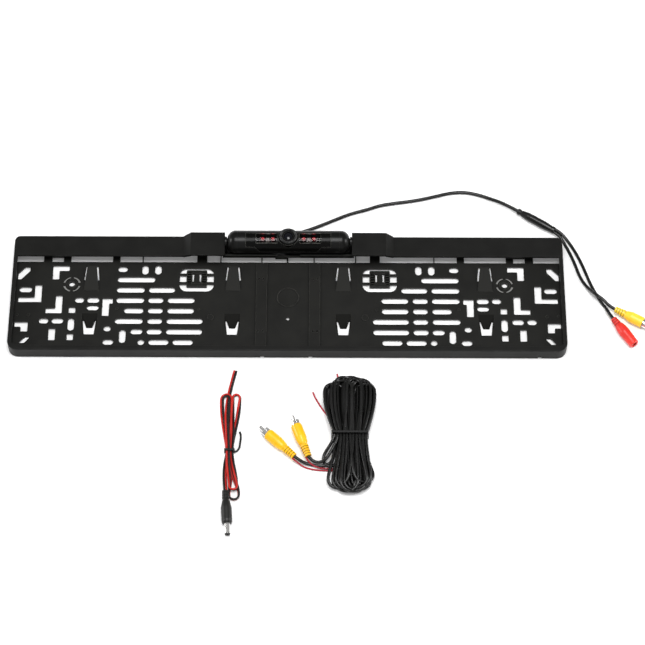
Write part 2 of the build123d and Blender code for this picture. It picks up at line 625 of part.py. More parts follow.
def base_tray():
    """Slotted tray that is screwed to the vehicle and carries everything else."""
    with BuildPart() as tray:
        with BuildSketch(Plane.XY) as outline:
            with Locations((0, (TRAY_FRONT + TRAY_REAR) / 2)):
                Rectangle(2 * TRAY_HALF, TRAY_REAR - TRAY_FRONT)
            fillet(outline.vertices().group_by(Axis.Y)[0], LOWER_CORNER_RADIUS - WALL - TRAY_GAP)
            chamfer(outline.vertices().group_by(Axis.Y)[-1], REAR_CHAMFER)
        extrude(amount=SHEET_TOP)
        # hollow back, with stiffening ribs
        with BuildSketch(Plane.XY):
            with Locations((0, (TRAY_FRONT + TRAY_REAR) / 2)):
                RectangleRounded(2 * (TRAY_HALF - SKIRT_THICKNESS),
                                 TRAY_REAR - TRAY_FRONT - 2 * SKIRT_THICKNESS, LOWER_CORNER_RADIUS - WALL)
            for row in RIB_ROWS:
                with Locations((0, row_y(row))):
                    Rectangle(2 * TRAY_HALF, RIB_THICKNESS, mode=Mode.SUBTRACT)
        extrude(amount=SHEET_BOTTOM, mode=Mode.SUBTRACT)
        # raised strips, middle disc and small marks on top
        with BuildSketch(Plane.XY.offset(SHEET_TOP)):
            for side in BOTH_SIDES:
                with Locations((side * (STRIP_INNER + STRIP_OUTER) / 2, (TRAY_FRONT + TRAY_REAR) / 2)):
                    Rectangle(STRIP_OUTER - STRIP_INNER, TRAY_REAR - TRAY_FRONT - 3)
        extrude(amount=STRIP_RISE)
        with BuildSketch(Plane.XY.offset(SHEET_TOP)):
            with Locations((0, DISC_Y)):
                Circle(DISC_RADIUS)
                Circle(DISC_RADIUS - 0.8, mode=Mode.SUBTRACT)
            for side in BOTH_SIDES:
                for x, y, radius in SPRUE_MARKS:
                    with Locations((side * x, y)):
                        Circle(radius)
        extrude(amount=SPRUE_RISE)
        # screw bosses that reach down to the vehicle
        with BuildSketch(Plane.XY):
            for side in BOTH_SIDES:
                with Locations((side * BOLT_X, BOLT_Y)):
                    Circle(BOLT_BOSS_RADIUS)
        extrude(amount=SHEET_TOP + SPRUE_RISE)
        add(tray_arms())
        for x in FINGER_XS:
            with BuildSketch(Plane.XY.offset(FLOOR_GAP)):
                with Locations((x, TRAY_REAR - 1)):
                    Rectangle(FINGER_WIDTH, FINGER_REACH + 1, align=(Align.CENTER, Align.MIN))
            extrude(amount=SHEET_TOP - FLOOR_GAP)
        # arm of the cable, narrow where the plate's upper edge shows it
        with BuildSketch(Plane.XY.offset(FLOOR_GAP)):
            with Locations((CABLE_NECK[0], TRAY_REAR - 1)):
                Rectangle(CABLE_NECK[1] - CABLE_NECK[0], CABLE_ARM_START + 4 - TRAY_REAR, align=Align.MIN)
            with Locations((CABLE_ARM[0], CABLE_ARM_START)):
                Rectangle(CABLE_NECK[1] - CABLE_ARM[0], 3, align=Align.MIN)
            with Locations((CABLE_ARM[0], CABLE_ARM_START)):
                Rectangle(CABLE_ARM[1] - CABLE_ARM[0], CABLE_ARM_REACH - CABLE_ARM_START, align=Align.MIN)
        extrude(amount=CABLE_ARM_TOP - FLOOR_GAP)
        # every opening goes right through
        with BuildSketch(Plane.XY.offset(-1)):
            for side in BOTH_SIDES:
                slot_openings(side)
                bolt_boss_openings(side)
                with Locations((side * PAD_X, PAD_Y)):
                    RectangleRounded(*PAD_WINDOW, PAD_WINDOW_RADIUS)
                for x in TONGUE_XS:
                    hook_profile(side * x, HOOK_SLIT_END_Y, HOOK_SLIT)
                    spring_profile(side * x, SPRING_WINDOW_WIDTH, SPRING_WINDOW_Y, SPRING_WINDOW_TIP_WIDTH)
                for x in (STRIP_INNER + 3.6, STRIP_OUTER - 2.6):
                    for y in (26.8, 85.1):
                        with Locations((side * x, y)):
                            Circle(STRIP_HOLE_RADIUS)
            with Locations((0, CENTRE_HOLE_Y)):
                Circle(CENTRE_HOLE_RADIUS)
        extrude(amount=3 * SHEET_TOP, mode=Mode.SUBTRACT)
        for side in BOTH_SIDES:
            for x in TONGUE_XS:
                add(hook(side * x))
                add(spring(side * x))
            add(pad(side * PAD_X))
    write_piece(tray, "base_tray")


def hinge_pins():
    """Pins of the front frame's hinge, one through each tray arm and its two lugs."""
    with BuildPart() as pins:
        for side in BOTH_SIDES:
            for inner, outer in HINGE_ARMS:
                length = outer - inner + 2 * (HINGE_SIDE_GAP + LUG_WIDTH)
                beyond = HINGE_SIDE_GAP + LUG_WIDTH
                start = min(side * (inner - beyond), side * (outer + beyond))
                with BuildSketch(Plane.YZ.offset(start)):
                    with Locations((HINGE_Y, HINGE_HEIGHT)):
                        Circle(HINGE_PIN_RADIUS)
                extrude(amount=length)
    write_piece(pins, "hinge_pins")


# ================================================================ pivot brackets of the pod
def sector(inner, outer, start_angle, end_angle):
    """Ring sector about the pod's axis in the YZ plane, inside a sketch."""
    with BuildSketch(mode=Mode.PRIVATE) as ring:
        with BuildLine():
            CenterArc((POD_Y, POD_HEIGHT), (inner + outer) / 2, start_angle, end_angle - start_angle)
        trace(line_width=outer - inner)
    add(ring.sketch)


def pivot_bracket(side, name):
    """Saddle in the trough with an upright ear that holds one end of the pod."""
    ear_outer = EAR_START + EAR_THICKNESS
    outer = TROUGH_INNER - BRACKET_GAP
    with BuildPart() as bracket:
        with BuildSketch(Plane.YZ.offset(min(side * BRACKET_START, side * ear_outer))):
            sector(BRACKET_INNER, outer, *BRACKET_ANGLES)
        extrude(amount=ear_outer - BRACKET_START)
        with BuildSketch(Plane.YZ.offset(min(side * EAR_START, side * ear_outer))):
            with Locations((POD_Y, POD_HEIGHT)):
                Circle(EAR_RADIUS)
            Polygon(
                (POD_Y - EAR_RADIUS, POD_HEIGHT), (POD_Y + EAR_RADIUS, POD_HEIGHT),
                (POD_Y + EAR_RADIUS + 1, POD_HEIGHT - BRACKET_INNER + 0.4),
                (POD_Y - EAR_RADIUS - 1, POD_HEIGHT - BRACKET_INNER + 0.4), align=None,
            )
            with Locations((POD_Y, POD_HEIGHT)):
                Circle(PIVOT_RADIUS, mode=Mode.SUBTRACT)
        extrude(amount=EAR_THICKNESS)
        with Locations(*[(side * x, POD_Y, POD_HEIGHT - TROUGH_INNER) for x in BRACKET_SCREW_XS]):
            Cylinder(BRACKET_SCREW_RADIUS, 6 * BRACKET_GAP + 3, mode=Mode.SUBTRACT)
    write_piece(bracket, name)


def bracket_screws():
    """Screws that come up through the trough into the pivot brackets."""
    head_radius, head_height = BRACKET_SCREW_HEAD
    trough_bottom = POD_HEIGHT - TROUGH_OUTER
    with BuildPart() as screws:
        for side in BOTH_SIDES:
            for x in BRACKET_SCREW_XS:
                with Locations((side * x, POD_Y, trough_bottom)):
                    Cylinder(BRACKET_SCREW_RADIUS - 0.03, TROUGH_OUTER - BRACKET_INNER - 0.2,
                             align=(Align.CENTER, Align.CENTER, Align.MIN))
                    Cylinder(head_radius, head_height, align=(Align.CENTER, Align.CENTER, Align.MAX))
    write_piece(screws, "bracket_screws")


def pivot_pins():
    """Pins pressed into the ears, on which the pod tilts."""
    length = PIVOT_DEPTH + EAR_SIDE_GAP + EAR_THICKNESS
    with BuildPart() as pins:
        for side in BOTH_SIDES:
            start = min(side * (POD_HALF_LENGTH - PIVOT_DEPTH), side * (EAR_START + EAR_THICKNESS))
            with BuildSketch(Plane.YZ.offset(start)):
                with Locations((POD_Y, POD_HEIGHT)):
                    Circle(PIVOT_RADIUS)
            extrude(amount=length)
    write_piece(pins, "pivot_pins")


def friction_washers():
    """Thin washers between the pod's ends and the ears."""
    with BuildPart() as washers:
        for side in BOTH_SIDES:
            inner = EAR_START - WASHER_THICKNESS
            with BuildSketch(Plane.YZ.offset(min(side * inner, side * EAR_START))):
                with Locations((POD_Y, POD_HEIGHT)):
                    Circle(WASHER_RADIUS)
                    Circle(PIVOT_RADIUS + PIVOT_BORE_GAP, mode=Mode.SUBTRACT)
            extrude(amount=WASHER_THICKNESS)
    write_piece(washers, "friction_washers")


# ================================================================ camera pod
def capsule(radius, half_length, rounding):
    """Round bar along the pod's axis with rounded ends."""
    with BuildPart() as bar:
        with BuildSketch(Plane.YZ.offset(-half_length)):
            with Locations((POD_Y, POD_HEIGHT)):
                Circle(radius)
        extrude(amount=2 * half_length)
        fillet(bar.edges().filter_by(GeomType.CIRCLE), rounding)
    return bar.part


def pod_outside():
    """Outer form of the pod."""
    return capsule(POD_RADIUS, POD_HALF_LENGTH, POD_END_ROUNDING)


def pod_inside():
    """Hollow of the pod."""
    return capsule(POD_RADIUS - POD_WALL, POD_HALF_LENGTH - POD_END_WALL, POD_END_ROUNDING - POD_WALL)


def cap_inside():
    """Hollow of the end caps, as wide as the inside of their spigots."""
    radius = POD_RADIUS - POD_WALL - SPIGOT_GAP - SPIGOT_WALL
    return capsule(radius, POD_HALF_LENGTH - POD_END_WALL, POD_END_ROUNDING - POD_RADIUS + radius)


def upright(radius, low, high):
    """Round bar along the lens axis, between two heights above the pod's axis."""
    with BuildPart() as bar:
        with BuildSketch(Plane.XY.offset(POD_HEIGHT + low)):
            with Locations((0, POD_Y)):
                Circle(radius)
        extrude(amount=high - low)
    return bar.part


def cover_zone(gap):
    """Space of the front cover: in front of its back edge and above its stepped lower seam."""
    step_z = POD_HEIGHT + COVER_STEP_RISE
    top = POD_HEIGHT + 2 * POD_RADIUS
    with BuildPart() as zone:
        with BuildSketch(Plane.XZ.offset(gap - POD_Y - COVER_BACK)):
            Polygon(
                (-COVER_HALF, step_z), (-COVER_STEP_OUTER, step_z), (-COVER_STEP_INNER, POD_HEIGHT),
                (COVER_STEP_INNER, POD_HEIGHT), (COVER_STEP_OUTER, step_z), (COVER_HALF, step_z),
                (COVER_HALF, top), (-COVER_HALF, top), align=None,
            )
            if gap:
                offset(amount=-gap, kind=Kind.INTERSECTION, mode=Mode.REPLACE)
        extrude(amount=COVER_BACK + 2 * POD_RADIUS)
    return zone.part


def lens_boss(gap):
    """Round lens housing of the cover with its chin in front; gap widens it to a cut."""
    with BuildPart() as boss:
        add(upright(BOSS_RADIUS + gap, 0, BOSS_TOP + 10 * gap))
        add(upright(BOSS_RADIUS + gap, -CHIN_DROP - gap, 0))
        with BuildSketch(Plane.XY.offset(POD_HEIGHT)):
            with Locations((0, POD_Y)):
                Rectangle(3 * BOSS_RADIUS, 2 * BOSS_RADIUS, align=(Align.CENTER, Align.MIN))
        extrude(amount=-2 * BOSS_RADIUS, mode=Mode.SUBTRACT)
    return boss.part


def window_zone(side, gap):
    """Space of one smoked window in the cover."""
    inner, outer = WINDOW_INNER + gap, WINDOW_OUTER - gap
    with BuildPart() as zone:
        with BuildSketch(Plane.XY.offset(POD_HEIGHT)):
            with Locations((side * (inner + outer) / 2, POD_Y + (WINDOW_BACK - WINDOW_FRONT) / 2)):
                Rectangle(outer - inner, WINDOW_FRONT + WINDOW_BACK - 2 * gap)
        extrude(amount=2 * POD_RADIUS)
    return zone.part


def board_posts():
    """Posts in the pod under the three circuit boards."""
    floor = POD_WALL / 2 - POD_RADIUS
    posts = [(x, SENSOR_BOARD_TOP - BOARD_THICKNESS) for x in (-7.2, 7.2)]
    lamp_xs = (LAMP_BOARD_INNER + 3, LAMP_BOARD_OUTER - 3)
    posts += [(side * x, LAMP_BOARD_TOP - BOARD_THICKNESS) for side in BOTH_SIDES for x in lamp_xs]
    with BuildPart() as group:
        for x, top in posts:
            with BuildSketch(Plane.XY.offset(POD_HEIGHT + floor)):
                with Locations((x, POD_Y)):
                    Circle(POST_RADIUS)
            extrude(amount=top - floor)
    return group.part


def gland_plane(reach):
    """Plane across the cable gland, at a distance from the pod's axis."""
    angle = math.radians(GLAND_ANGLE)
    way = (0, math.cos(angle), math.sin(angle))
    return Plane(origin=(GLAND_X, POD_Y + reach * way[1], POD_HEIGHT + reach * way[2]), z_dir=way)


def pod_shell():
    """Back of the pod: tube with the front cut away for the cover."""
    with BuildPart() as shell:
        add(pod_outside())
        add(pod_inside(), mode=Mode.SUBTRACT)
        add(cover_zone(0), mode=Mode.SUBTRACT)
        add(lens_boss(SEAM_GAP), mode=Mode.SUBTRACT)
        for side in BOTH_SIDES:
            with Locations((side * (CAP_SEAM + POD_HALF_LENGTH / 2), POD_Y, POD_HEIGHT)):
                Box(POD_HALF_LENGTH, 3 * POD_RADIUS, 3 * POD_RADIUS, mode=Mode.SUBTRACT)
            add(cap_screw_holes(side, CAP_SCREW_RADIUS + 0.04), mode=Mode.SUBTRACT)
        add(board_posts())
        with BuildSketch(gland_plane(POD_RADIUS - 3 * POD_WALL)):
            Circle(GLAND_RADIUS + 0.05)
        extrude(amount=4 * POD_WALL, mode=Mode.SUBTRACT)
    write_piece(shell, "pod_shell")


def cap_screw_holes(side, radius):
    """Round bars along the screws of one end cap."""
    with BuildPart() as bars:
        for degrees in CAP_SCREW_ANGLES:
            angle = math.radians(degrees)
            way = (0, -math.cos(angle), math.sin(angle))
            reach = POD_RADIUS - POD_WALL - SPIGOT_WALL - SPIGOT_GAP
            foot = (side * CAP_SCREW_X, POD_Y + reach * way[1], POD_HEIGHT + reach * way[2])
            with BuildSketch(Plane(origin=foot, x_dir=(1, 0, 0), z_dir=way)):
                Circle(radius)
            extrude(amount=POD_RADIUS - reach - 0.25)
    return bars.part


def end_cap(side, name):
    """Rounded end of the pod with a spigot in the shell and a bore for the pivot pin."""
    spigot_radius = POD_RADIUS - POD_WALL - SPIGOT_GAP
    with BuildPart() as cap:
        add(pod_outside())
        add(cap_inside(), mode=Mode.SUBTRACT)
        with Locations((side * (CAP_SEAM - POD_HALF_LENGTH), POD_Y, POD_HEIGHT)):
            Box(2 * POD_HALF_LENGTH, 3 * POD_RADIUS, 3 * POD_RADIUS, mode=Mode.SUBTRACT)
        with BuildSketch(Plane.YZ.offset(side * (CAP_SEAM - CAP_SPIGOT))):
            with Locations((POD_Y, POD_HEIGHT)):
                Circle(spigot_radius)
                Circle(spigot_radius - SPIGOT_WALL, mode=Mode.SUBTRACT)
        extrude(amount=side * CAP_SPIGOT)
        with BuildSketch(Plane.YZ.offset(side * (POD_HALF_LENGTH - PIVOT_DEPTH - 1.5))):
            with Locations((POD_Y, POD_HEIGHT)):
                Circle(PIVOT_BOSS_RADIUS)
        extrude(amount=side * (PIVOT_DEPTH + 1.0))
        with BuildSketch(Plane.YZ.offset(side * (POD_HALF_LENGTH - PIVOT_DEPTH - 0.2))):
            with Locations((POD_Y, POD_HEIGHT)):
                Circle(PIVOT_RADIUS + PIVOT_BORE_GAP)
        extrude(amount=side * (PIVOT_DEPTH + 2), mode=Mode.SUBTRACT)
        add(cap_screw_holes(side, CAP_SCREW_RADIUS + 0.04), mode=Mode.SUBTRACT)
    write_piece(cap, name)


def cap_screws():
    """Small flush screws that hold the end caps."""
    with BuildPart() as screws:
        for side in BOTH_SIDES:
            add(cap_screw_holes(side, CAP_SCREW_RADIUS))
    write_piece(screws, "cap_screws")


def front_cover():
    """Glossy front of the pod with the lens housing and two window openings."""
    with BuildPart() as cover:
        add(pod_outside())
        add(cover_zone(SEAM_GAP), mode=Mode.INTERSECT)
        add(lens_boss(0))
        add(pod_inside(), mode=Mode.SUBTRACT)
        add(upright(BOSS_BORE, 0, 2 * BOSS_TOP), mode=Mode.SUBTRACT)
        add(upright(BOSS_RADIUS, BOSS_TOP, 2 * BOSS_TOP), mode=Mode.SUBTRACT)
        for side in BOTH_SIDES:
            add(window_zone(side, 0), mode=Mode.SUBTRACT)
    write_piece(cover, "front_cover")


def lamp_window(side, name):
    """Smoked window of one pair of lamps."""
    with BuildPart() as window:
        add(pod_outside())
        add(window_zone(side, SEAM_GAP / 2), mode=Mode.INTERSECT)
        add(pod_inside(), mode=Mode.SUBTRACT)
    write_piece(window, name)


def lens_pieces():
    """Lens ring, barrel, front glass, rear glass and the ring seal around the barrel."""
    with BuildPart() as ring:
        add(upright(LENS_RING_RADIUS, BOSS_TOP, LENS_RING_TOP))
        add(upright(LENS_RING_INNER, BOSS_TOP - 1, LENS_RING_TOP + 1), mode=Mode.SUBTRACT)
        chamfer(ring.edges().filter_by(GeomType.CIRCLE).group_by(Axis.Z)[-1], 0.6)
    write_piece(ring, "lens_ring")
    with BuildPart() as barrel:
        add(upright(BARREL_RADIUS, BARREL_BOTTOM, BARREL_TOP))
        add(upright(BARREL_BORE, BARREL_BOTTOM - 1, BARREL_TOP + 1), mode=Mode.SUBTRACT)
        add(upright(GLASS_RADIUS + GLASS_SIDE_GAP, GLASS_EDGE, BARREL_TOP + 1), mode=Mode.SUBTRACT)
    write_piece(barrel, "lens_barrel")
    with BuildPart() as glass:
        with BuildSketch(Plane.XZ.offset(-POD_Y)):
            with BuildLine():
                Polyline((0, POD_HEIGHT + GLASS_CROWN), (0, POD_HEIGHT + GLASS_EDGE),
                         (GLASS_RADIUS, POD_HEIGHT + GLASS_EDGE), (GLASS_RADIUS, POD_HEIGHT + GLASS_RIM))
                rim, crown = POD_HEIGHT + GLASS_RIM, POD_HEIGHT + GLASS_CROWN
                RadiusArc((GLASS_RADIUS, rim), (0, crown), -glass_curve())
            make_face()
        revolve(axis=Axis((0, POD_Y, 0), (0, 0, 1)))
    write_piece(glass, "lens_glass")
    with BuildPart() as rear_glass:
        add(upright(BARREL_BORE - REAR_GLASS_GAP, HOLDER_NECK_TOP, HOLDER_NECK_TOP + REAR_GLASS_THICKNESS))
    write_piece(rear_glass, "rear_glass")
    with BuildPart() as seal:
        with BuildSketch(Plane.XZ.offset(-POD_Y)):
            with Locations(((BARREL_RADIUS + BOSS_BORE) / 2, POD_HEIGHT + GLASS_EDGE - 1)):
                Circle(SEAL_RADIUS)
        revolve(axis=Axis((0, POD_Y, 0), (0, 0, 1)))
    write_piece(seal, "lens_seal")


def glass_curve():
    """Radius of the front glass's crown."""
    height = GLASS_CROWN - GLASS_RIM
    return (GLASS_RADIUS ** 2 + height ** 2) / (2 * height)


def board(name, x, width, depth, top):
    """Flat circuit board with its top at a height above the pod's axis."""
    with BuildPart() as plate:
        with BuildSketch(Plane.XY.offset(POD_HEIGHT + top - BOARD_THICKNESS)):
            with Locations((x, POD_Y)):
                RectangleRounded(width, depth, 0.6)
        extrude(amount=BOARD_THICKNESS)
    write_piece(plate, name)


def sensor_pieces():
    """Sensor board, sensor chip and the holder that the barrel screws into."""
    board("sensor_board", 0, *SENSOR_BOARD, SENSOR_BOARD_TOP)
    board_top = POD_HEIGHT + SENSOR_BOARD_TOP
    with BuildPart() as chip:
        with Locations((0, POD_Y, board_top)):
            Box(SENSOR_SIZE, SENSOR_SIZE, SENSOR_THICKNESS, align=(Align.CENTER, Align.CENTER, Align.MIN))
    write_piece(chip, "image_sensor")
    with BuildPart() as holder:
        with Locations((0, POD_Y, board_top)):
            Box(HOLDER_SIZE, HOLDER_SIZE - 1, BARREL_BOTTOM - SENSOR_BOARD_TOP - 0.4,
                align=(Align.CENTER, Align.CENTER, Align.MIN))
            Box(SENSOR_SIZE + 1.6, SENSOR_SIZE + 1.6, 2 * SENSOR_THICKNESS,
                align=(Align.CENTER, Align.CENTER, Align.MIN), mode=Mode.SUBTRACT)
        add(upright(HOLDER_NECK_RADIUS, BARREL_BOTTOM - 0.5, HOLDER_NECK_TOP))
        add(upright(BARREL_RADIUS + 0.05, BARREL_BOTTOM - 0.2, 2 * HOLDER_NECK_TOP), mode=Mode.SUBTRACT)
        add(upright(BARREL_BORE, SENSOR_BOARD_TOP, HOLDER_NECK_TOP), mode=Mode.SUBTRACT)
    write_piece(holder, "lens_holder")


def lamps(side, word):
    """Board, two infrared lamps and their reflectors behind one window."""
    middle = side * (LAMP_BOARD_INNER + LAMP_BOARD_OUTER) / 2
    board(f"lamp_board_{word}", middle, LAMP_BOARD_OUTER - LAMP_BOARD_INNER, LAMP_BOARD_DEPTH, LAMP_BOARD_TOP)
    foot = POD_HEIGHT + LAMP_BOARD_TOP
    with BuildPart() as lamp_pair:
        for x in LAMP_XS:
            with Locations((side * x, POD_Y, foot)):
                Cylinder(LAMP_RADIUS, LAMP_BODY, align=(Align.CENTER, Align.CENTER, Align.MIN))
            with Locations((side * x, POD_Y, foot + LAMP_BODY)):
                Sphere(LAMP_RADIUS)
    write_piece(lamp_pair, f"lamps_{word}")
    with BuildPart() as cups:
        for x in LAMP_XS:
            with Locations((side * x, POD_Y, foot)):
                Cone(REFLECTOR_FOOT, REFLECTOR_MOUTH, REFLECTOR_HEIGHT,
                     align=(Align.CENTER, Align.CENTER, Align.MIN))
                Cone(REFLECTOR_FOOT - REFLECTOR_WALL, REFLECTOR_MOUTH - REFLECTOR_WALL, REFLECTOR_HEIGHT,
                     align=(Align.CENTER, Align.CENTER, Align.MIN), mode=Mode.SUBTRACT)
    write_piece(cups, f"reflectors_{word}")


def cable_gland():
    """Gland under the pod where the camera's cable goes in."""
    with BuildPart() as gland:
        with BuildSketch(gland_plane(POD_RADIUS - POD_WALL - 1)):
            Circle(GLAND_RADIUS)
            Circle(PIGTAIL_DIAMETER / 2 - 0.4, mode=Mode.SUBTRACT)
        extrude(amount=GLAND_REACH - POD_RADIUS + POD_WALL + 1)
    write_piece(gland, "cable_gland")


# ================================================================ cords
def corner_radii(points):
    """Largest arc that each corner of a route allows."""
    radii = []
    for before, corner, after in zip(points, points[1:], points[2:]):
        arriving = Vector(*corner) - Vector(*before)
        leaving = Vector(*after) - Vector(*corner)
        turn = math.radians(arriving.get_angle(leaving))
        radii.append(ARC_SHARE * min(arriving.length, leaving.length) / math.tan(turn / 2))
    return radii


def cord(name, points, diameter):
    """Tube of straight runs and tangent arcs along a route."""
    radii = corner_radii(points)
    way = Vector(*points[1]) - Vector(*points[0])
    with BuildPart() as tube:
        with BuildLine() as route:
            FilletPolyline(*points, radius=radii)
        with BuildSketch(Plane(origin=points[0], z_dir=way)):
            Circle(diameter / 2)
        sweep()
    length = route.wires()[0].length
    share = tube.part.volume / (math.pi * diameter ** 2 / 4 * length)
    print(f"{name}: length {length:.1f}, smallest radius {min(radii):.1f}, volume share {share:.4f}")
    write_piece(tube, name)


def shifted(points, offset_x, offset_y):
    """A route moved sideways."""
    return [(x + offset_x, y + offset_y, z) for x, y, z in points]


def turned(profile, plane):
    """Solid of revolution about a plane's normal; the profile lists (distance along, radius)."""
    with BuildPart() as body:
        with BuildSketch(Plane(origin=plane.origin, x_dir=plane.z_dir, z_dir=plane.x_dir)):
            Polygon((profile[0][0], 0), *profile, (profile[-1][0], 0), align=None)
        revolve(axis=Axis(plane.origin, plane.z_dir))
    return body.part


def ribbed(start, end, foot_radius, end_radius, ribs):
    """Profile of a strain relief with grooves between its ribs."""
    pitch = (end - start) / ribs
    profile = []
    for rib in range(ribs):
        radius = foot_radius + (end_radius - foot_radius) * rib / ribs
        low = start + rib * pitch
        profile += [(low, radius), (low + 0.62 * pitch, radius)]
        profile += [(low + 0.62 * pitch, radius - RELIEF_GROOVE), (low + pitch, radius - RELIEF_GROOVE)]
    return profile


def plane_along(start, end):
    """Plane at a start point that faces an end point."""
    return Plane(origin=start, x_dir=(0, 0, 1), z_dir=Vector(*end) - Vector(*start))


def beside(plane, reach, sideways):
    """Point at a distance along a level plane's normal and beside it."""
    way = plane.z_dir
    origin = plane.origin
    return (origin.X + reach * way.X - sideways * way.Y, origin.Y + reach * way.Y + sideways * way.X,
            origin.Z + reach * way.Z)


def cable_grommet():
    """Block at the end of the cable arm that turns the cable towards the corner."""
    with BuildPart() as grommet:
        with BuildSketch(Plane.XY.offset(FLOOR_CLEAR)):
            with Locations(GROMMET_CENTRE):
                Rectangle(GROMMET_SIZE[0], GROMMET_SIZE[1], rotation=GROMMET_ANGLE)
        extrude(amount=GROMMET_SIZE[2])
        fillet(grommet.edges().group_by(Axis.Z)[-1], 0.8)
        with BuildSketch(Plane.XY):
            with Locations((CABLE_ARM[1], CABLE_ARM_REACH)):
                Rectangle(2 * GROMMET_SIZE[0], GROMMET_SIZE[1], align=(Align.MAX, Align.MAX))
        extrude(amount=CABLE_ARM_TOP, mode=Mode.SUBTRACT)
    write_piece(grommet, "cable_grommet")


def y_splitter():
    """Moulded fork where the cable becomes two tails."""
    collar = SPLITTER_COLLAR_RADIUS
    profile = [
        (0, collar - 0.4), (0.6, collar), (3.2, collar), (3.4, collar - 0.5), (4.4, collar - 0.5),
        (4.8, collar - 0.1), (11, SPLITTER_RADIUS - 0.2), (15, SPLITTER_RADIUS),
        (SPLITTER_LENGTH - 13, SPLITTER_RADIUS), (SPLITTER_LENGTH - 9, SPLITTER_RADIUS - 0.3),
        (SPLITTER_LENGTH - 2.8, SPLITTER_END_RADIUS), (SPLITTER_LENGTH - 2.6, SPLITTER_END_RADIUS + 0.25),
        (SPLITTER_LENGTH, SPLITTER_END_RADIUS),
    ]
    with BuildPart() as fork:
        add(turned(profile, SPLITTER_PLANE))
    write_piece(fork, "y_splitter")


def video_socket():
    """Yellow socket at the end of the video tail: grip, metal shell and insulating core."""
    plane = plane_along(VIDEO_TAIL[-1], SOCKET_FRONT)
    grip_end = 29.5
    with BuildPart() as grip:
        profile = ribbed(0, 10.5, 3.1, 3.9, 4)
        add(turned(profile + [(12, 4.1), (17, PLUG_GRIP_RADIUS), (grip_end, PLUG_GRIP_RADIUS)], plane))
        bore = [(20, SOCKET_SHELL_RADIUS), (grip_end + 1, SOCKET_SHELL_RADIUS)]
        add(turned(bore, plane), mode=Mode.SUBTRACT)
    write_piece(grip, "video_socket_body")
    with BuildPart() as shell:
        add(turned([(20, SOCKET_SHELL_RADIUS), (grip_end + 8, SOCKET_SHELL_RADIUS)], plane))
        add(turned([(21, SOCKET_CORE_RADIUS), (grip_end + 9, SOCKET_CORE_RADIUS)], plane), mode=Mode.SUBTRACT)
    write_piece(shell, "video_socket_shell")
    with BuildPart() as core:
        add(turned([(21, SOCKET_CORE_RADIUS), (grip_end + 7, SOCKET_CORE_RADIUS)], plane))
        add(turned([(25, SOCKET_HOLE), (grip_end + 9, SOCKET_HOLE)], plane), mode=Mode.SUBTRACT)
    write_piece(core, "video_socket_core")


def power_jack():
    """Red socket at the end of the power tail, with its inner contact."""
    plane = plane_along(POWER_TAIL[-1], JACK_FRONT)
    length = 33.6
    with BuildPart() as body:
        profile = ribbed(0, 7.5, 3.0, 3.8, 3)
        profile += [(8.4, 4.0), (12.5, 5.0), (17.5, PLUG_GRIP_RADIUS), (21, PLUG_GRIP_RADIUS - 0.2)]
        profile += [(length - 0.8, JACK_END_RADIUS), (length, JACK_END_RADIUS - 0.5)]
        add(turned(profile, plane))
        add(turned([(length - 12, JACK_BORE), (length + 1, JACK_BORE)], plane), mode=Mode.SUBTRACT)
    write_piece(body, "power_jack_body")
    with BuildPart() as contact:
        add(turned([(length - 12, 1.9), (length - 11, 1.9), (length - 11, 1.0), (length - 1.5, 1.0)], plane))
    write_piece(contact, "power_jack_contact")


def rca_plug(plane, word):
    """Yellow video plug: grip with ribbed relief, slotted metal skirt and centre pin."""
    grip_end = 34.3
    with BuildPart() as grip:
        profile = ribbed(0, 12.5, 3.3, 4.0, 5) + [(14.5, 4.3), (21, PLUG_GRIP_RADIUS)]
        profile += [(grip_end - 1.2, PLUG_GRIP_RADIUS), (grip_end, PLUG_GRIP_RADIUS - 0.5)]
        add(turned(profile, plane))
        add(turned([(grip_end - 6, SKIRT_RADIUS), (grip_end + 1, SKIRT_RADIUS)], plane), mode=Mode.SUBTRACT)
    write_piece(grip, f"rca_plug_{word}_body")
    with BuildPart() as skirt:
        add(turned([(grip_end - 6, SKIRT_RADIUS), (grip_end + 4.2, SKIRT_RADIUS - 0.1)], plane))
        add(turned([(grip_end - 5, SKIRT_BORE), (grip_end + 5, SKIRT_BORE)], plane), mode=Mode.SUBTRACT)
        add(turned([(grip_end - 7, RCA_PIN_RADIUS), (grip_end, RCA_PIN_RADIUS)], plane), mode=Mode.SUBTRACT)
        slot_foot = plane.origin + plane.z_dir * (grip_end + 0.4)
        slots = Plane(origin=slot_foot, x_dir=plane.x_dir, z_dir=plane.z_dir)
        with BuildSketch(slots):
            Rectangle(3 * SKIRT_RADIUS, 1.1)
            Rectangle(1.1, 3 * SKIRT_RADIUS)
        extrude(amount=5, mode=Mode.SUBTRACT)
    write_piece(skirt, f"rca_plug_{word}_skirt")
    with BuildPart() as pin:
        profile = [(grip_end - 6, RCA_PIN_RADIUS), (PIN_TIP - 1, RCA_PIN_RADIUS)]
        profile.append((PIN_TIP, RCA_PIN_RADIUS - 0.9))
        add(turned(profile, plane))
    write_piece(pin, f"rca_plug_{word}_pin")


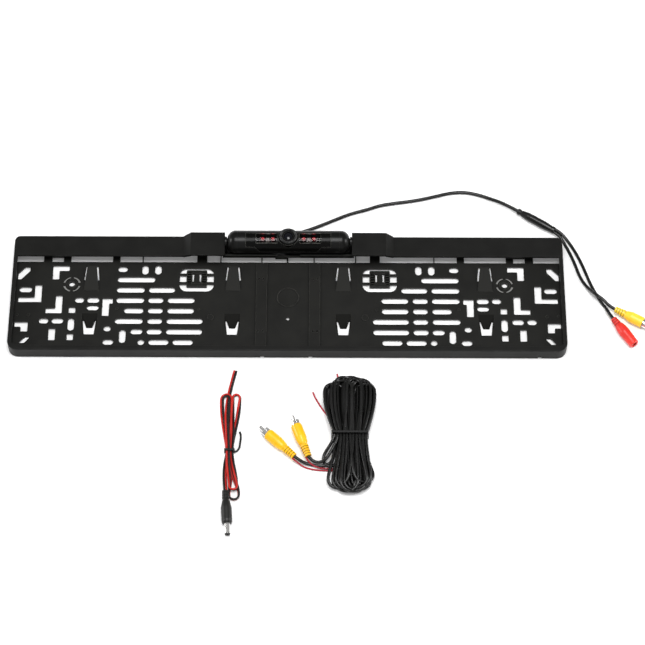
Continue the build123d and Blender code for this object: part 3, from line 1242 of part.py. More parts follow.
def dc_plug():
    """Black plug of the power lead: grip, metal barrel and its dark tip ring."""
    plane = plane_along(DC_PLUG_START, DC_PLUG_END)
    grip_end, barrel_end = 33.0, 44.6
    with BuildPart() as grip:
        profile = ribbed(0, 9.0, 3.1, 3.4, 3)
        profile += [(10.5, 3.6), (17, 5.0), (grip_end - 3, 5.0), (grip_end - 1, 4.7), (grip_end, 4.2)]
        add(turned(profile, plane))
        bore = [(grip_end - 6, DC_ROOT_RADIUS), (grip_end + 1, DC_ROOT_RADIUS)]
        add(turned(bore, plane), mode=Mode.SUBTRACT)
    write_piece(grip, "power_plug_body")
    with BuildPart() as barrel:
        profile = [(grip_end - 6, DC_ROOT_RADIUS), (grip_end, DC_ROOT_RADIUS), (grip_end, DC_BARREL_RADIUS)]
        add(turned(profile + [(barrel_end - 1, DC_BARREL_RADIUS)], plane))
        lining = DC_BORE_RADIUS + 0.4
        add(turned([(grip_end - 6.5, lining), (barrel_end, lining)], plane), mode=Mode.SUBTRACT)
    write_piece(barrel, "power_plug_barrel")
    with BuildPart() as tip:
        add(turned([(grip_end - 6, DC_BORE_RADIUS + 0.4), (barrel_end - 1, DC_BORE_RADIUS + 0.4),
                    (barrel_end - 1, DC_BARREL_RADIUS - 0.1), (barrel_end, DC_BARREL_RADIUS - 0.3)], plane))
        bore = [(grip_end - 4, DC_BORE_RADIUS), (barrel_end + 1, DC_BORE_RADIUS)]
        add(turned(bore, plane), mode=Mode.SUBTRACT)
    write_piece(tip, "power_plug_insulator")


def tie_ring(left, right, centre_y, height):
    """Flat band around a hank, which lies on the table."""
    with BuildPart() as ring:
        with BuildSketch(Plane.XZ.offset(-centre_y - TIE_WIDTH / 2)):
            with Locations(((left + right) / 2, FLOOR_CLEAR)):
                Rectangle(right - left + 2 * TIE_THICKNESS, height, align=(Align.CENTER, Align.MIN))
            with Locations(((left + right) / 2, FLOOR_CLEAR + TIE_THICKNESS)):
                Rectangle(right - left, height - 2 * TIE_THICKNESS, align=(Align.CENTER, Align.MIN),
                          mode=Mode.SUBTRACT)
        extrude(amount=TIE_WIDTH)
        fillet(ring.edges().filter_by(Axis.Y), 0.5)
    return ring.part


def drawn_in(outline, amount):
    """An outline scaled about its middle so that its extent shrinks by an amount on each side."""
    xs = [x for x, y in outline]
    ys = [y for x, y in outline]
    middle = ((min(xs) + max(xs)) / 2, (min(ys) + max(ys)) / 2)
    scale_x = 1 - 2 * amount / (max(xs) - min(xs))
    scale_y = 1 - 2 * amount / (max(ys) - min(ys))
    return [
        (middle[0] + (x - middle[0]) * scale_x, middle[1] + (y - middle[1]) * scale_y) for x, y in outline
    ]


def hank(outline, height, shoulder, tie, name):
    """Bundled cord as one closed solid with a stepped top and a groove for its tie."""
    with BuildPart() as bundle:
        with BuildSketch(Plane.XY.offset(FLOOR_CLEAR)):
            Polygon(*outline, align=None)
        extrude(amount=height - shoulder)
        if shoulder:
            with BuildSketch(Plane.XY.offset(FLOOR_CLEAR)):
                Polygon(*drawn_in(outline, shoulder), align=None)
            extrude(amount=height)
        add(tie, mode=Mode.SUBTRACT)
    write_piece(bundle, name)


def hank_ties():
    """Wire ties around the two hanks; the one on the power lead has a twisted tail."""
    tail_way = Vector(*TIE_TAIL[1]) - Vector(*TIE_TAIL[0])
    with BuildPart() as ties:
        add(tie_ring(*VIDEO_TIE))
        add(tie_ring(*POWER_TIE))
        with BuildLine():
            FilletPolyline(*TIE_TAIL, radius=corner_radii(TIE_TAIL))
        with BuildSketch(Plane(origin=TIE_TAIL[0], z_dir=tail_way)):
            Circle(TIE_TAIL_RADIUS)
        sweep()
    write_piece(ties, "hank_ties")


# ---------------------------------------------------------------- plugs
RELIEF_GROOVE = 0.45
PLUG_GRIP_RADIUS = 5.3
SKIRT_RADIUS = 4.75
SKIRT_BORE = 4.15              # fits over a socket's shell
SOCKET_SHELL_RADIUS = 4.1
SOCKET_CORE_RADIUS = 3.5
SOCKET_HOLE = 1.65
RCA_PIN_RADIUS = 1.6
PIN_TIP = 45.6
JACK_END_RADIUS = 4.7
JACK_BORE = 2.9
DC_BARREL_RADIUS = 2.75
DC_ROOT_RADIUS = 2.3
DC_BORE_RADIUS = 1.2
DC_AXIS_Z = 5.05

# ---------------------------------------------------------------- routes of the cords on the table
GROMMET_WAY = (math.cos(math.radians(GROMMET_ANGLE)), math.sin(math.radians(GROMMET_ANGLE)))
PIGTAIL_Z = PIGTAIL_DIAMETER / 2 + FLOOR_CLEAR
GROMMET_FACE = (GROMMET_CENTRE[0] + GROMMET_SIZE[0] / 2 * GROMMET_WAY[0],
                GROMMET_CENTRE[1] + GROMMET_SIZE[0] / 2 * GROMMET_WAY[1], PIGTAIL_Z)
GROMMET_RUN = (GROMMET_FACE[0] + 12 * GROMMET_WAY[0], GROMMET_FACE[1] + 12 * GROMMET_WAY[1], PIGTAIL_Z)
SPLITTER_START = (225.9, 164.7, SPLITTER_RADIUS + FLOOR_CLEAR)
SPLITTER_END = (260.9, 141.9, SPLITTER_RADIUS + FLOOR_CLEAR)
SPLITTER_PLANE = plane_along(SPLITTER_START, SPLITTER_END)
PIGTAIL = [
    GROMMET_FACE, GROMMET_RUN, (22.0, 144.8, PIGTAIL_Z), (34.0, 149.6, PIGTAIL_Z),
    (47.0, 155.9, PIGTAIL_Z), (62.0, 162.9, PIGTAIL_Z), (78.0, 168.2, PIGTAIL_Z), (92.0, 172.6, PIGTAIL_Z),
    (107.0, 175.4, PIGTAIL_Z), (126.0, 178.4, PIGTAIL_Z), (146.5, 183.6, PIGTAIL_Z),
    (160.0, 187.3, PIGTAIL_Z), (173.5, 188.4, PIGTAIL_Z), (187.0, 185.3, PIGTAIL_Z),
    (200.0, 179.9, 2.4), beside(SPLITTER_PLANE, -15.5, 0), SPLITTER_START,
]
TAIL_Z = TAIL_DIAMETER / 2 + FLOOR_CLEAR
SOCKET_FRONT = (342.2, 36.3, PLUG_AXIS_Z)
SOCKET_START = (315.9, 51.9, PLUG_AXIS_Z)
SOCKET_PLANE = plane_along(SOCKET_START, SOCKET_FRONT)
JACK_FRONT = (332.3, 12.5, PLUG_AXIS_Z)
JACK_START = (313.5, 41.1, PLUG_AXIS_Z)
JACK_PLANE = plane_along(JACK_START, JACK_FRONT)
VIDEO_TAIL = [
    beside(SPLITTER_PLANE, SPLITTER_LENGTH, -TAIL_OFFSET),
    beside(SPLITTER_PLANE, SPLITTER_LENGTH + 6, -TAIL_OFFSET),
    (269.5, 131.0, 2.4), (273.4, 123.0, TAIL_Z), (277.6, 112.0, TAIL_Z), (281.2, 99.5, TAIL_Z),
    (284.9, 88.5, TAIL_Z), (289.2, 79.5, 3.4), (294.6, 71.2, 6.8), (299.0, 66.4, 7.8), (304.4, 61.6, 7.6),
    beside(SOCKET_PLANE, -6.2, 0), SOCKET_START,
]
POWER_TAIL = [
    beside(SPLITTER_PLANE, SPLITTER_LENGTH, TAIL_OFFSET),
    beside(SPLITTER_PLANE, SPLITTER_LENGTH + 6, TAIL_OFFSET),
    (272.6, 133.2, 2.4), (277.4, 125.5, TAIL_Z), (282.0, 115.0, TAIL_Z), (285.9, 103.0, TAIL_Z),
    (289.6, 91.0, TAIL_Z), (293.8, 80.0, TAIL_Z), (298.4, 70.2, TAIL_Z), (303.2, 61.0, TAIL_Z),
    (307.4, 53.4, 3.6), beside(JACK_PLANE, -6.5, 0), JACK_START,
]
RCA_A_START, RCA_A_FRONT = (7.7, -107.9, PLUG_AXIS_Z), (-17.0, -84.3, PLUG_AXIS_Z)
RCA_B_START, RCA_B_FRONT = (20.8, -107.8, PLUG_AXIS_Z), (9.2, -75.6, PLUG_AXIS_Z)
RCA_A_PLANE = plane_along(RCA_A_START, RCA_A_FRONT)
RCA_B_PLANE = plane_along(RCA_B_START, RCA_B_FRONT)
VIDEO_LEAD_A = [
    RCA_A_START, beside(RCA_A_PLANE, -7.0, 0), (18.2, -118.6, 2.9), (25.2, -123.0, TAIL_Z),
    (33.2, -124.5, TAIL_Z), (36.0, -124.7, TAIL_Z),
]
VIDEO_LEAD_B = [
    RCA_B_START, beside(RCA_B_PLANE, -6.0, 0), (27.5, -117.4, 3.1), (33.6, -118.6, 1.8),
    (37.3, -118.5, TAIL_Z),
]
WIRE_Z = TRIGGER_DIAMETER / 2 + FLOOR_CLEAR
TRIGGER_WIRE_A = [
    beside(RCA_B_PLANE, 0, 2.45), beside(RCA_B_PLANE, -5.0, 2.45), (22.4, -117.6, 3.4), (27.2, -120.9, 1.5),
    (32.2, -121.7, WIRE_Z), (36.2, -121.9, WIRE_Z),
]
TRIGGER_WIRE_B = [
    beside(RCA_A_PLANE, 0, 2.45), beside(RCA_A_PLANE, -6.4, 2.45), (15.6, -120.4, 2.9), (22.8, -125.9, 1.1),
    (30.6, -128.2, WIRE_Z), (35.3, -128.6, WIRE_Z),
]
TRIGGER_TAIL_A = [(24.0, -37.6, WIRE_Z), (27.6, -45.2, WIRE_Z), (32.2, -53.4, WIRE_Z), (35.6, -58.4, WIRE_Z)]
TRIGGER_TAIL_B = [(47.5, -18.6, 2.2), (47.9, -23.0, 2.2), (48.6, -27.6, 2.2)]
POWER_WIRE_Z = WIRE_DIAMETER / 2 + FLOOR_CLEAR
POWER_TAIL_RED = [
    (-50.4, -14.9, POWER_WIRE_Z), (-52.2, -24.0, POWER_WIRE_Z), (-53.9, -34.0, POWER_WIRE_Z),
    (-54.7, -41.5, POWER_WIRE_Z), (-54.75, -47.8, POWER_WIRE_Z),
]
DC_PLUG_START, DC_PLUG_END = (-55.6, -143.8, DC_AXIS_Z), (-53.3, -176.8, DC_AXIS_Z)
VIDEO_HANK = [
    (47.7, -28.3), (54.1, -24.9), (68.4, -23.6), (75.4, -26.4), (84.4, -30.8), (85.2, -38.0),
    (83.7, -49.3), (81.5, -62.0), (78.5, -73.2), (76.6, -84.2), (76.5, -96.8), (77.7, -112.4),
    (79.6, -123.3), (79.3, -134.1), (75.1, -139.5), (68.8, -143.4), (61.9, -145.5), (52.2, -143.6),
    (43.9, -145.5), (38.4, -141.8), (35.8, -132.6), (36.6, -123.3), (39.8, -112.4), (42.6, -96.8),
    (42.9, -85.0), (41.0, -74.7), (37.8, -62.0), (35.3, -49.3), (35.9, -39.6), (41.3, -32.4),
]
VIDEO_HANK_HEIGHT = 13.4
VIDEO_HANK_SHOULDER = 3.0
POWER_HANK = [
    (-56.9, -41.0), (-56.1, -42.0), (-56.1, -48.4), (-51.4, -48.4), (-51.4, -41.0), (-48.7, -39.1),
    (-44.8, -44.7), (-44.0, -55.1), (-45.2, -72.7), (-46.8, -88.5), (-48.7, -101.0),
    (-49.3, -107.3), (-47.0, -119.8), (-43.9, -135.3), (-41.6, -143.0), (-42.6, -149.1),
    (-48.1, -151.2), (-51.4, -147.0), (-51.8, -143.3), (-58.6, -143.3), (-58.8, -132.2),
    (-58.1, -115.1), (-57.0, -101.8), (-57.1, -93.2), (-58.5, -82.2), (-61.2, -66.3),
    (-63.1, -51.9), (-62.5, -46.3),
]
POWER_HANK_HEIGHT = 6.2
TIE_WIDTH = 2.0
TIE_THICKNESS = 1.0
TIE_TAIL_RADIUS = 0.95
VIDEO_TIE = (43.2, 76.1, -86.0, 14.2)      # left, right, middle, height
POWER_TIE = (-56.8, -48.9, -101.4, 6.8)
TIE_TAIL = [(-48.3, -101.4, 1.1), (-45.6, -100.4, 1.1), (-43.6, -97.0, 1.1), (-43.0, -90.5, 1.1),
            (-42.4, -84.8, 1.1), (-43.6, -80.4, 1.1)]


def cords():
    """All cords, plugs, sockets and hanks."""
    cable_grommet()
    cord("pigtail_cord", PIGTAIL, PIGTAIL_DIAMETER)
    y_splitter()
    cord("video_tail", VIDEO_TAIL, TAIL_DIAMETER)
    cord("power_tail", POWER_TAIL, TAIL_DIAMETER)
    video_socket()
    power_jack()
    cord("power_tail_red", POWER_TAIL_RED, WIRE_DIAMETER)
    cord("power_tail_black", shifted(POWER_TAIL_RED, WIRE_DIAMETER + 0.1, 0), WIRE_DIAMETER)
    hank(POWER_HANK, POWER_HANK_HEIGHT, 0, tie_ring(*POWER_TIE), "power_hank")
    hank(VIDEO_HANK, VIDEO_HANK_HEIGHT, VIDEO_HANK_SHOULDER, tie_ring(*VIDEO_TIE), "video_hank")
    hank_ties()
    dc_plug()
    cord("video_lead_a", VIDEO_LEAD_A, TAIL_DIAMETER)
    cord("video_lead_b", VIDEO_LEAD_B, TAIL_DIAMETER)
    rca_plug(RCA_A_PLANE, "a")
    rca_plug(RCA_B_PLANE, "b")
    cord("trigger_wire_a", TRIGGER_WIRE_A, TRIGGER_DIAMETER)
    cord("trigger_wire_b", TRIGGER_WIRE_B, TRIGGER_DIAMETER)
    cord("trigger_tail_a", TRIGGER_TAIL_A, TRIGGER_DIAMETER)
    cord("trigger_tail_b", TRIGGER_TAIL_B, TRIGGER_DIAMETER)


def main():
    """Write every piece."""
    base_tray()
    hinge_pins()
    front_frame()
    pivot_bracket(-1, "pivot_bracket_left")
    pivot_bracket(1, "pivot_bracket_right")
    bracket_screws()
    pivot_pins()
    friction_washers()
    pod_shell()
    end_cap(-1, "end_cap_left")
    end_cap(1, "end_cap_right")
    cap_screws()
    front_cover()
    lamp_window(-1, "lamp_window_left")
    lamp_window(1, "lamp_window_right")
    lens_pieces()
    sensor_pieces()
    lamps(-1, "left")
    lamps(1, "right")
    cable_gland()
    cords()


main()
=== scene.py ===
"""Number plate frame with a tilting backup camera, its cable tails and two loose leads."""

import logging
import math
import random
from dataclasses import dataclass, field
from enum import Enum

import bpy
from mathutils import Matrix, Vector


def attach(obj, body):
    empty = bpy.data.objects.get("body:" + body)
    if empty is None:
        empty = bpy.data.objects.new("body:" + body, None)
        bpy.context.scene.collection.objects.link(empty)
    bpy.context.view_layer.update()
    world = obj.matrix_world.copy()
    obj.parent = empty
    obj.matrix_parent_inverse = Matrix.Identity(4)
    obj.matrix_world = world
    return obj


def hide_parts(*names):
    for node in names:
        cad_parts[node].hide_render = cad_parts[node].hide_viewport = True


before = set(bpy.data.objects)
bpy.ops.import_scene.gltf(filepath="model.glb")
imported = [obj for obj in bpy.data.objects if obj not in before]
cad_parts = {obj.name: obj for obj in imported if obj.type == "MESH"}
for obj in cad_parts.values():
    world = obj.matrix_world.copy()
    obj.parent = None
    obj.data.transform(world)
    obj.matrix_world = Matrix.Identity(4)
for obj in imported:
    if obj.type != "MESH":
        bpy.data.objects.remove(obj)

LOG = logging.getLogger("camera_frame")
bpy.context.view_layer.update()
MM = 0.001
BOLT_LINE = 79.5  # routes measure Y from the lower wall, and the origin lies on the bolts

Point = tuple[float, float, float]
Station = tuple[float, float, float, float]  # a point of a wire pair and the pair's twist in degrees
Colour = tuple[float, float, float]
Socket = bpy.types.NodeSocket


def place(x: float, y: float, z: float) -> Vector:
    """Turn a point in route millimetres into metres in the shared frame.

    Args:
        x: Distance right of the middle.
        y: Distance up from the lower wall.
        z: Height above the table.

    Returns:
        The point in the shared frame.
    """
    return Vector((x * MM, (y - BOLT_LINE) * MM, z * MM))


# ------------------------------------------------------------------ shader groups
TONGUE_XS = (53.5, 191.0)  # hooks and springs of the tray, in mm from the middle
HOOK_RISE = (0.072, 0.0985)  # foot and tip of a hook, in metres up the tray
HOOK_FOOT_HALF = 0.0074  # half a hook's width at its foot
HOOK_TAPER = 0.110  # how much that half narrows per metre
SPRING_RISE = (0.031, 0.0466)
SPRING_HALF = 0.0075
LAMP_CROWN = (0.0255, 0.0273)  # heights between which the painted reflection on the lamps' crowns begins
GLINT_SPAN = (0.0186, 0.0213)  # the cups catch the light between the two lamps of a pair
CROWN_REFLECTION_COLOURS = ((0.0, (0.0, 0.0, 0.0)), (0.62, (0.16, 0.004, 0.008)), (1.0, (1.0, 0.10, 0.13)))
EDGE_TURN = (0.995, 0.80)  # cosines between which a rounded edge gets wear and a painted highlight
EDGE_PATCH_SCALE, EDGE_PATCH_SPAN = 220.0, (0.20, 0.52)  # patches along an edge where the wear and the painted highlight show
PAINTED_SHADE_OPEN = (0.96, 0.45)  # shares of open sky between which painted shade darkens crevices
PAINTED_SHADE_REACH = 0.0022  # reach of the painted shade, in metres
GRAIN_HEIGHT = 0.00008  # in metres
MOTTLE_SPAN = (0.35, 0.65)
SMUDGE_SPAN = (0.3, 0.7)
# The sloping hooks get painted light and the sunken springs painted shade, besides the springs' rougher
# surface.
HOOK_LIGHT_GAIN, SPRING_SHADE_GAIN, SPRING_ROUGHNESS = 1.15, 0.7, 0.95


class Effect(Enum):
    """Surface effects that several finishes share."""

    GRAIN = "moulded_grain"
    SMUDGE = "handling_smudges"
    EDGES = "worn_and_highlit_edges"
    PANELS = "tray_panels"
    CROWN = "lamp_crown"
    GLINT = "cup_glint"


class EffectGroup:
    """A shader node group in the making: its sockets, its nodes and their links."""

    def __init__(self, effect: Effect, inputs: dict[str, float | None], outputs: dict[str, str]) -> None:
        """Make the group with its named sockets.

        Args:
            effect: The effect that the group makes.
            inputs: Start value of each float input, and None for a vector input.
            outputs: Kind of each output: Float, Vector or Color.
        """
        self.tree = bpy.data.node_groups.new(effect.value, "ShaderNodeTree")
        sockets = self.tree.interface
        for name, start in inputs.items():
            kind = "NodeSocketVector" if start is None else "NodeSocketFloat"
            socket = sockets.new_socket(name=name, in_out="INPUT", socket_type=kind)
            if start is not None:
                socket.default_value = start
        for name, kind in outputs.items():
            sockets.new_socket(name=name, in_out="OUTPUT", socket_type=f"NodeSocket{kind}")
        self.inputs = self.tree.nodes.new("NodeGroupInput").outputs
        self.outputs = self.tree.nodes.new("NodeGroupOutput").inputs
        self.where = self.tree.nodes.new("ShaderNodeTexCoord").outputs["Object"]
        LOG.info("shader group %s", effect.value)

    def link(self, source: Socket, target: Socket) -> None:
        """Join an output to an input."""
        self.tree.links.new(source, target)

    def noise(self, detail: float) -> bpy.types.ShaderNodeTexNoise:
        """Add a noise texture in object space.

        Args:
            detail: How many octaves it has.

        Returns:
            The node.
        """
        made = self.tree.nodes.new("ShaderNodeTexNoise")
        made.inputs["Detail"].default_value = detail
        self.link(self.where, made.inputs["Vector"])
        return made

    def ramped(self, value: Socket, low: float, high: float) -> bpy.types.ShaderNodeMapRange:
        """Spread a value from 0 at one limit to 1 at the other.

        Args:
            value: The value.
            low: Where the result is 0.
            high: Where the result is 1.

        Returns:
            The node.
        """
        made = self.tree.nodes.new("ShaderNodeMapRange")
        made.inputs["From Min"].default_value = low
        made.inputs["From Max"].default_value = high
        self.link(value, made.inputs["Value"])
        return made

    def math(self, operation: str, *values: float | Socket) -> Socket:
        """Add a math node.

        Args:
            operation: Name of the operation.
            values: Its inputs, each a number or an output socket.

        Returns:
            The node's output.
        """
        made = self.tree.nodes.new("ShaderNodeMath")
        made.operation = operation
        for socket, value in zip(made.inputs, values):
            if isinstance(value, (int, float)):
                socket.default_value = value
            else:
                self.link(value, socket)
        return made.outputs["Value"]

    def between(self, value: Socket, low: float, high: float) -> Socket:
        """Mask that is 1 while a value lies between two limits.

        Args:
            value: The value.
            low: Lower limit.
            high: Upper limit.

        Returns:
            The mask.
        """
        above, below = self.math("GREATER_THAN", value, low), self.math("LESS_THAN", value, high)
        return self.math("MULTIPLY", above, below)

    def split(self) -> bpy.types.NodeOutputs:
        """Split the object space position.

        Returns:
            Its parts, named X, Y and Z.
        """
        made = self.tree.nodes.new("ShaderNodeSeparateXYZ")
        self.link(self.where, made.inputs["Vector"])
        return made.outputs


def build_grain() -> None:
    """Make the group for moulded grain: a bumped normal and a mottled mask."""
    group = EffectGroup(
        Effect.GRAIN, {"Scale": 1500.0, "Depth": 0.1, "Mottle": 60.0, "Rounded": None},
        {"Normal": "Vector", "Mask": "Float"},
    )
    fine, coarse = group.noise(detail=3.0), group.noise(detail=5.0)
    bump = group.tree.nodes.new("ShaderNodeBump")
    bump.inputs["Distance"].default_value = GRAIN_HEIGHT
    group.link(group.inputs["Scale"], fine.inputs["Scale"])
    group.link(group.inputs["Mottle"], coarse.inputs["Scale"])
    group.link(group.inputs["Depth"], bump.inputs["Strength"])
    group.link(group.inputs["Rounded"], bump.inputs["Normal"])
    group.link(fine.outputs["Fac"], bump.inputs["Height"])
    group.link(bump.outputs["Normal"], group.outputs["Normal"])
    group.link(coarse.outputs["Fac"], group.outputs["Mask"])


def build_smudge() -> None:
    """Make the group for faint handling marks: a mask that varies roughness."""
    group = EffectGroup(Effect.SMUDGE, {"Scale": 40.0, "Low": 0.3, "High": 0.5}, {"Roughness": "Float"})
    cloud = group.noise(detail=6.0)
    cloud.inputs["Roughness"].default_value = 0.6
    spread = group.ramped(cloud.outputs["Fac"], *SMUDGE_SPAN)
    group.link(group.inputs["Scale"], cloud.inputs["Scale"])
    group.link(group.inputs["Low"], spread.inputs["To Min"])
    group.link(group.inputs["High"], spread.inputs["To Max"])
    group.link(spread.outputs["Result"], group.outputs["Roughness"])


def build_edges() -> None:
    """Make the group for edges: a rounding normal, a wear and painted highlight mask, and a painted shade
    mask.
    """
    group = EffectGroup(
        Effect.EDGES, {"Radius": 0.0004}, {"Normal": "Vector", "WearAndHighlight": "Float", "PaintedShade": "Float"},
    )
    rounding = group.tree.nodes.new("ShaderNodeBevel")
    rounding.samples = 4
    facing = group.tree.nodes.new("ShaderNodeNewGeometry")
    turn = group.tree.nodes.new("ShaderNodeVectorMath")
    turn.operation = "DOT_PRODUCT"
    rub = group.noise(detail=4.0)
    rub.inputs["Scale"].default_value = EDGE_PATCH_SCALE
    # Ambient occlusion paints shade into crevices, corners, grooves and gaps between parts.
    open_sky = group.tree.nodes.new("ShaderNodeAmbientOcclusion")
    open_sky.samples = 6
    open_sky.inputs["Distance"].default_value = PAINTED_SHADE_REACH
    group.link(group.inputs["Radius"], rounding.inputs["Radius"])
    group.link(rounding.outputs["Normal"], turn.inputs[0])
    group.link(facing.outputs["Normal"], turn.inputs[1])
    edge = group.ramped(turn.outputs["Value"], *EDGE_TURN)
    patch = group.ramped(rub.outputs["Fac"], *EDGE_PATCH_SPAN)
    shade_mask = group.ramped(open_sky.outputs["AO"], *PAINTED_SHADE_OPEN)
    worn_and_lit = group.math("MULTIPLY", edge.outputs["Result"], patch.outputs["Result"])
    group.link(rounding.outputs["Normal"], group.outputs["Normal"])
    group.link(worn_and_lit, group.outputs["WearAndHighlight"])
    group.link(shade_mask.outputs["Result"], group.outputs["PaintedShade"])


def build_panels() -> None:
    """Make the group that paints light on the tray's hooks and paints shade on its springs."""
    group = EffectGroup(Effect.PANELS, {}, {"PaintedHookLight": "Float", "SpringShadeAndMatt": "Float"})
    parts = group.split()
    side = group.math("ABSOLUTE", parts["X"])
    near = group.math("MINIMUM", *[
        group.math("ABSOLUTE", group.math("SUBTRACT", side, tongue * MM)) for tongue in TONGUE_XS
    ])
    up = group.math("ADD", parts["Y"], BOLT_LINE * MM)
    half = group.math("MULTIPLY_ADD", up, -HOOK_TAPER, HOOK_FOOT_HALF + HOOK_TAPER * HOOK_RISE[0])
    hook = group.math("MULTIPLY", group.math("LESS_THAN", near, half), group.between(up, *HOOK_RISE))
    spring = group.math(
        "MULTIPLY", group.math("LESS_THAN", near, SPRING_HALF), group.between(up, *SPRING_RISE),
    )
    group.link(hook, group.outputs["PaintedHookLight"])
    group.link(spring, group.outputs["SpringShadeAndMatt"])


def build_crown() -> None:
    """Make the group of painted light on the lamps: a reflection on their crowns and a glint in their cups.
    """
    group = EffectGroup(Effect.CROWN, {}, {"PaintedCrownReflection": "Color", "Glint": "Color"})
    parts = group.split()
    ramp = group.tree.nodes.new("ShaderNodeValToRGB")
    stops = ramp.color_ramp.elements
    (_, dark), (middle, warm), (_, bright) = CROWN_REFLECTION_COLOURS
    stops[0].color = (*dark, 1.0)
    stops[1].color = (*bright, 1.0)
    stops.new(middle).color = (*warm, 1.0)
    height = group.ramped(parts["Z"], *LAMP_CROWN)
    group.link(height.outputs["Result"], ramp.inputs["Fac"])
    group.link(ramp.outputs["Color"], group.outputs["PaintedCrownReflection"])
    between = group.between(group.math("ABSOLUTE", parts["X"]), *GLINT_SPAN)
    group.link(between, group.outputs["Glint"])


# ------------------------------------------------------------------ finishes
def add_effect(tree: bpy.types.NodeTree, effect: Effect, **values: float) -> bpy.types.ShaderNodeGroup:
    """Add a shared effect to a material, with the material's own values.

    Args:
        tree: The material's nodes and links.
        effect: The effect.
        values: Values of the group's inputs.

    Returns:
        The group's node.
    """
    made = tree.nodes.new("ShaderNodeGroup")
    made.node_tree = bpy.data.node_groups[effect.value]
    for name, value in values.items():
        made.inputs[name].default_value = value
    return made


def lay_over(tree: bpy.types.NodeTree, base: Socket, mask: Socket, colour: Colour) -> Socket:
    """Lay a plain colour over another where a mask says.

    Args:
        tree: The material's nodes and links.
        base: Colour underneath.
        mask: Share of the plain colour.
        colour: The plain colour.

    Returns:
        The mixed colour.
    """
    made = tree.nodes.new("ShaderNodeMix")
    made.data_type = "RGBA"
    made.inputs["B"].default_value = (*colour, 1.0)
    tree.links.new(mask, made.inputs["Factor"])
    tree.links.new(base, made.inputs["A"])
    return made.outputs["Result"]


@dataclass(frozen=True)
class Finish:
    """A procedural finish: mottle, grain bump, varied roughness, wear and painted highlight on edges, painted
    shade in crevices.
    """

    name: str
    dark: Colour
    light: Colour
    roughness: tuple[float, float]
    grain_scale: float = 1600.0
    grain_depth: float = 0.1
    mottle: float = 60.0
    metallic: float = 0.0
    specular: float = 0.5
    coat: float = 0.0
    transmission: float = 0.0
    ior: float = 1.5
    wear_and_highlight_gain: float = 2.2  # brightness of an edge's wear and painted highlight, from the light colour
    rounding: float = 0.0004  # radius that edges are shaded with, in metres
    painted_shade: float = 0.25  # brightness of the painted shade in crevices, from the dark colour
    effect: Effect | None = None
    # strength of the emission that paints light on a part
    painted_light_strength: float = 0.0

    def material(self) -> bpy.types.Material:
        """Give the material of this finish, built on first use.

        Returns:
            The material.
        """
        title = f"dressed_{self.name}"
        known = bpy.data.materials.get(title)
        if known is not None:
            return known
        made = bpy.data.materials.new(title)
        made.use_nodes = True
        tree = made.node_tree
        shader = tree.nodes["Principled BSDF"]
        grain = add_effect(
            tree, Effect.GRAIN, Scale=self.grain_scale, Depth=self.grain_depth, Mottle=self.mottle,
        )
        smudge = add_effect(tree, Effect.SMUDGE, Low=self.roughness[0], High=self.roughness[1])
        edges = add_effect(tree, Effect.EDGES, Radius=self.rounding)
        colour, roughness = self.coloured(tree, grain, edges), smudge.outputs["Roughness"]
        if self.effect is Effect.PANELS:
            colour, roughness = self.panelled(tree, colour, roughness)
        tree.links.new(edges.outputs["Normal"], grain.inputs["Rounded"])
        tree.links.new(colour, shader.inputs["Base Color"])
        tree.links.new(grain.outputs["Normal"], shader.inputs["Normal"])
        tree.links.new(roughness, shader.inputs["Roughness"])
        shader.inputs["Metallic"].default_value = self.metallic
        shader.inputs["Specular IOR Level"].default_value = self.specular
        shader.inputs["Coat Weight"].default_value = self.coat
        shader.inputs["Transmission Weight"].default_value = self.transmission
        shader.inputs["IOR"].default_value = self.ior
        # Emission paints the red reflection on the lamps' crowns and the glint in their cups.
        if self.effect in (Effect.CROWN, Effect.GLINT):
            lit = add_effect(tree, Effect.CROWN).outputs["PaintedCrownReflection" if self.effect is Effect.CROWN else "Glint"]
            tree.links.new(lit, shader.inputs["Emission Color"])
            shader.inputs["Emission Strength"].default_value = self.painted_light_strength
        return made

    def coloured(self, tree: bpy.types.NodeTree, grain: bpy.types.Node, edges: bpy.types.Node) -> Socket:
        """Mottle the colour, lighten its edges with wear and a painted highlight, and paint shade into its
        crevices.

        Args:
            tree: The material's nodes and links.
            grain: Node of the grain group.
            edges: Node of the edges group.

        Returns:
            The colour.
        """
        ramp = tree.nodes.new("ShaderNodeValToRGB")
        for stop, position, colour in zip(ramp.color_ramp.elements, MOTTLE_SPAN, (self.dark, self.light)):
            stop.position = position
            stop.color = (*colour, 1.0)
        tree.links.new(grain.outputs["Mask"], ramp.inputs["Fac"])
        # Edges carry wear and a painted highlight: the light colour raised by the gain.
        bright = tuple(min(1.0, part * self.wear_and_highlight_gain) for part in self.light)
        worn_and_lit = lay_over(tree, ramp.outputs["Color"], edges.outputs["WearAndHighlight"], bright)
        # Painted shade: crevices and corners darken toward a share of the dark colour.
        shaded = tuple(part * self.painted_shade for part in self.dark)
        return lay_over(tree, worn_and_lit, edges.outputs["PaintedShade"], shaded)

    def panelled(self, tree: bpy.types.NodeTree, colour: Socket, roughness: Socket) -> tuple[Socket, Socket]:
        """Paint light onto the tray's hooks, and paint shade onto its springs and roughen them.

        Args:
            tree: The material's nodes and links.
            colour: Colour so far.
            roughness: Roughness so far.

        Returns:
            The new colour and roughness.
        """
        panels = add_effect(tree, Effect.PANELS)
        for mask, factor in (("PaintedHookLight", HOOK_LIGHT_GAIN), ("SpringShadeAndMatt", SPRING_SHADE_GAIN)):
            painted_tone = tuple(part * factor for part in self.light)
            colour = lay_over(tree, colour, panels.outputs[mask], painted_tone)
        matt = tree.nodes.new("ShaderNodeMix")
        matt.inputs["B"].default_value = SPRING_ROUGHNESS
        tree.links.new(panels.outputs["SpringShadeAndMatt"], matt.inputs["Factor"])
        tree.links.new(roughness, matt.inputs["A"])
        return colour, matt.outputs["Result"]
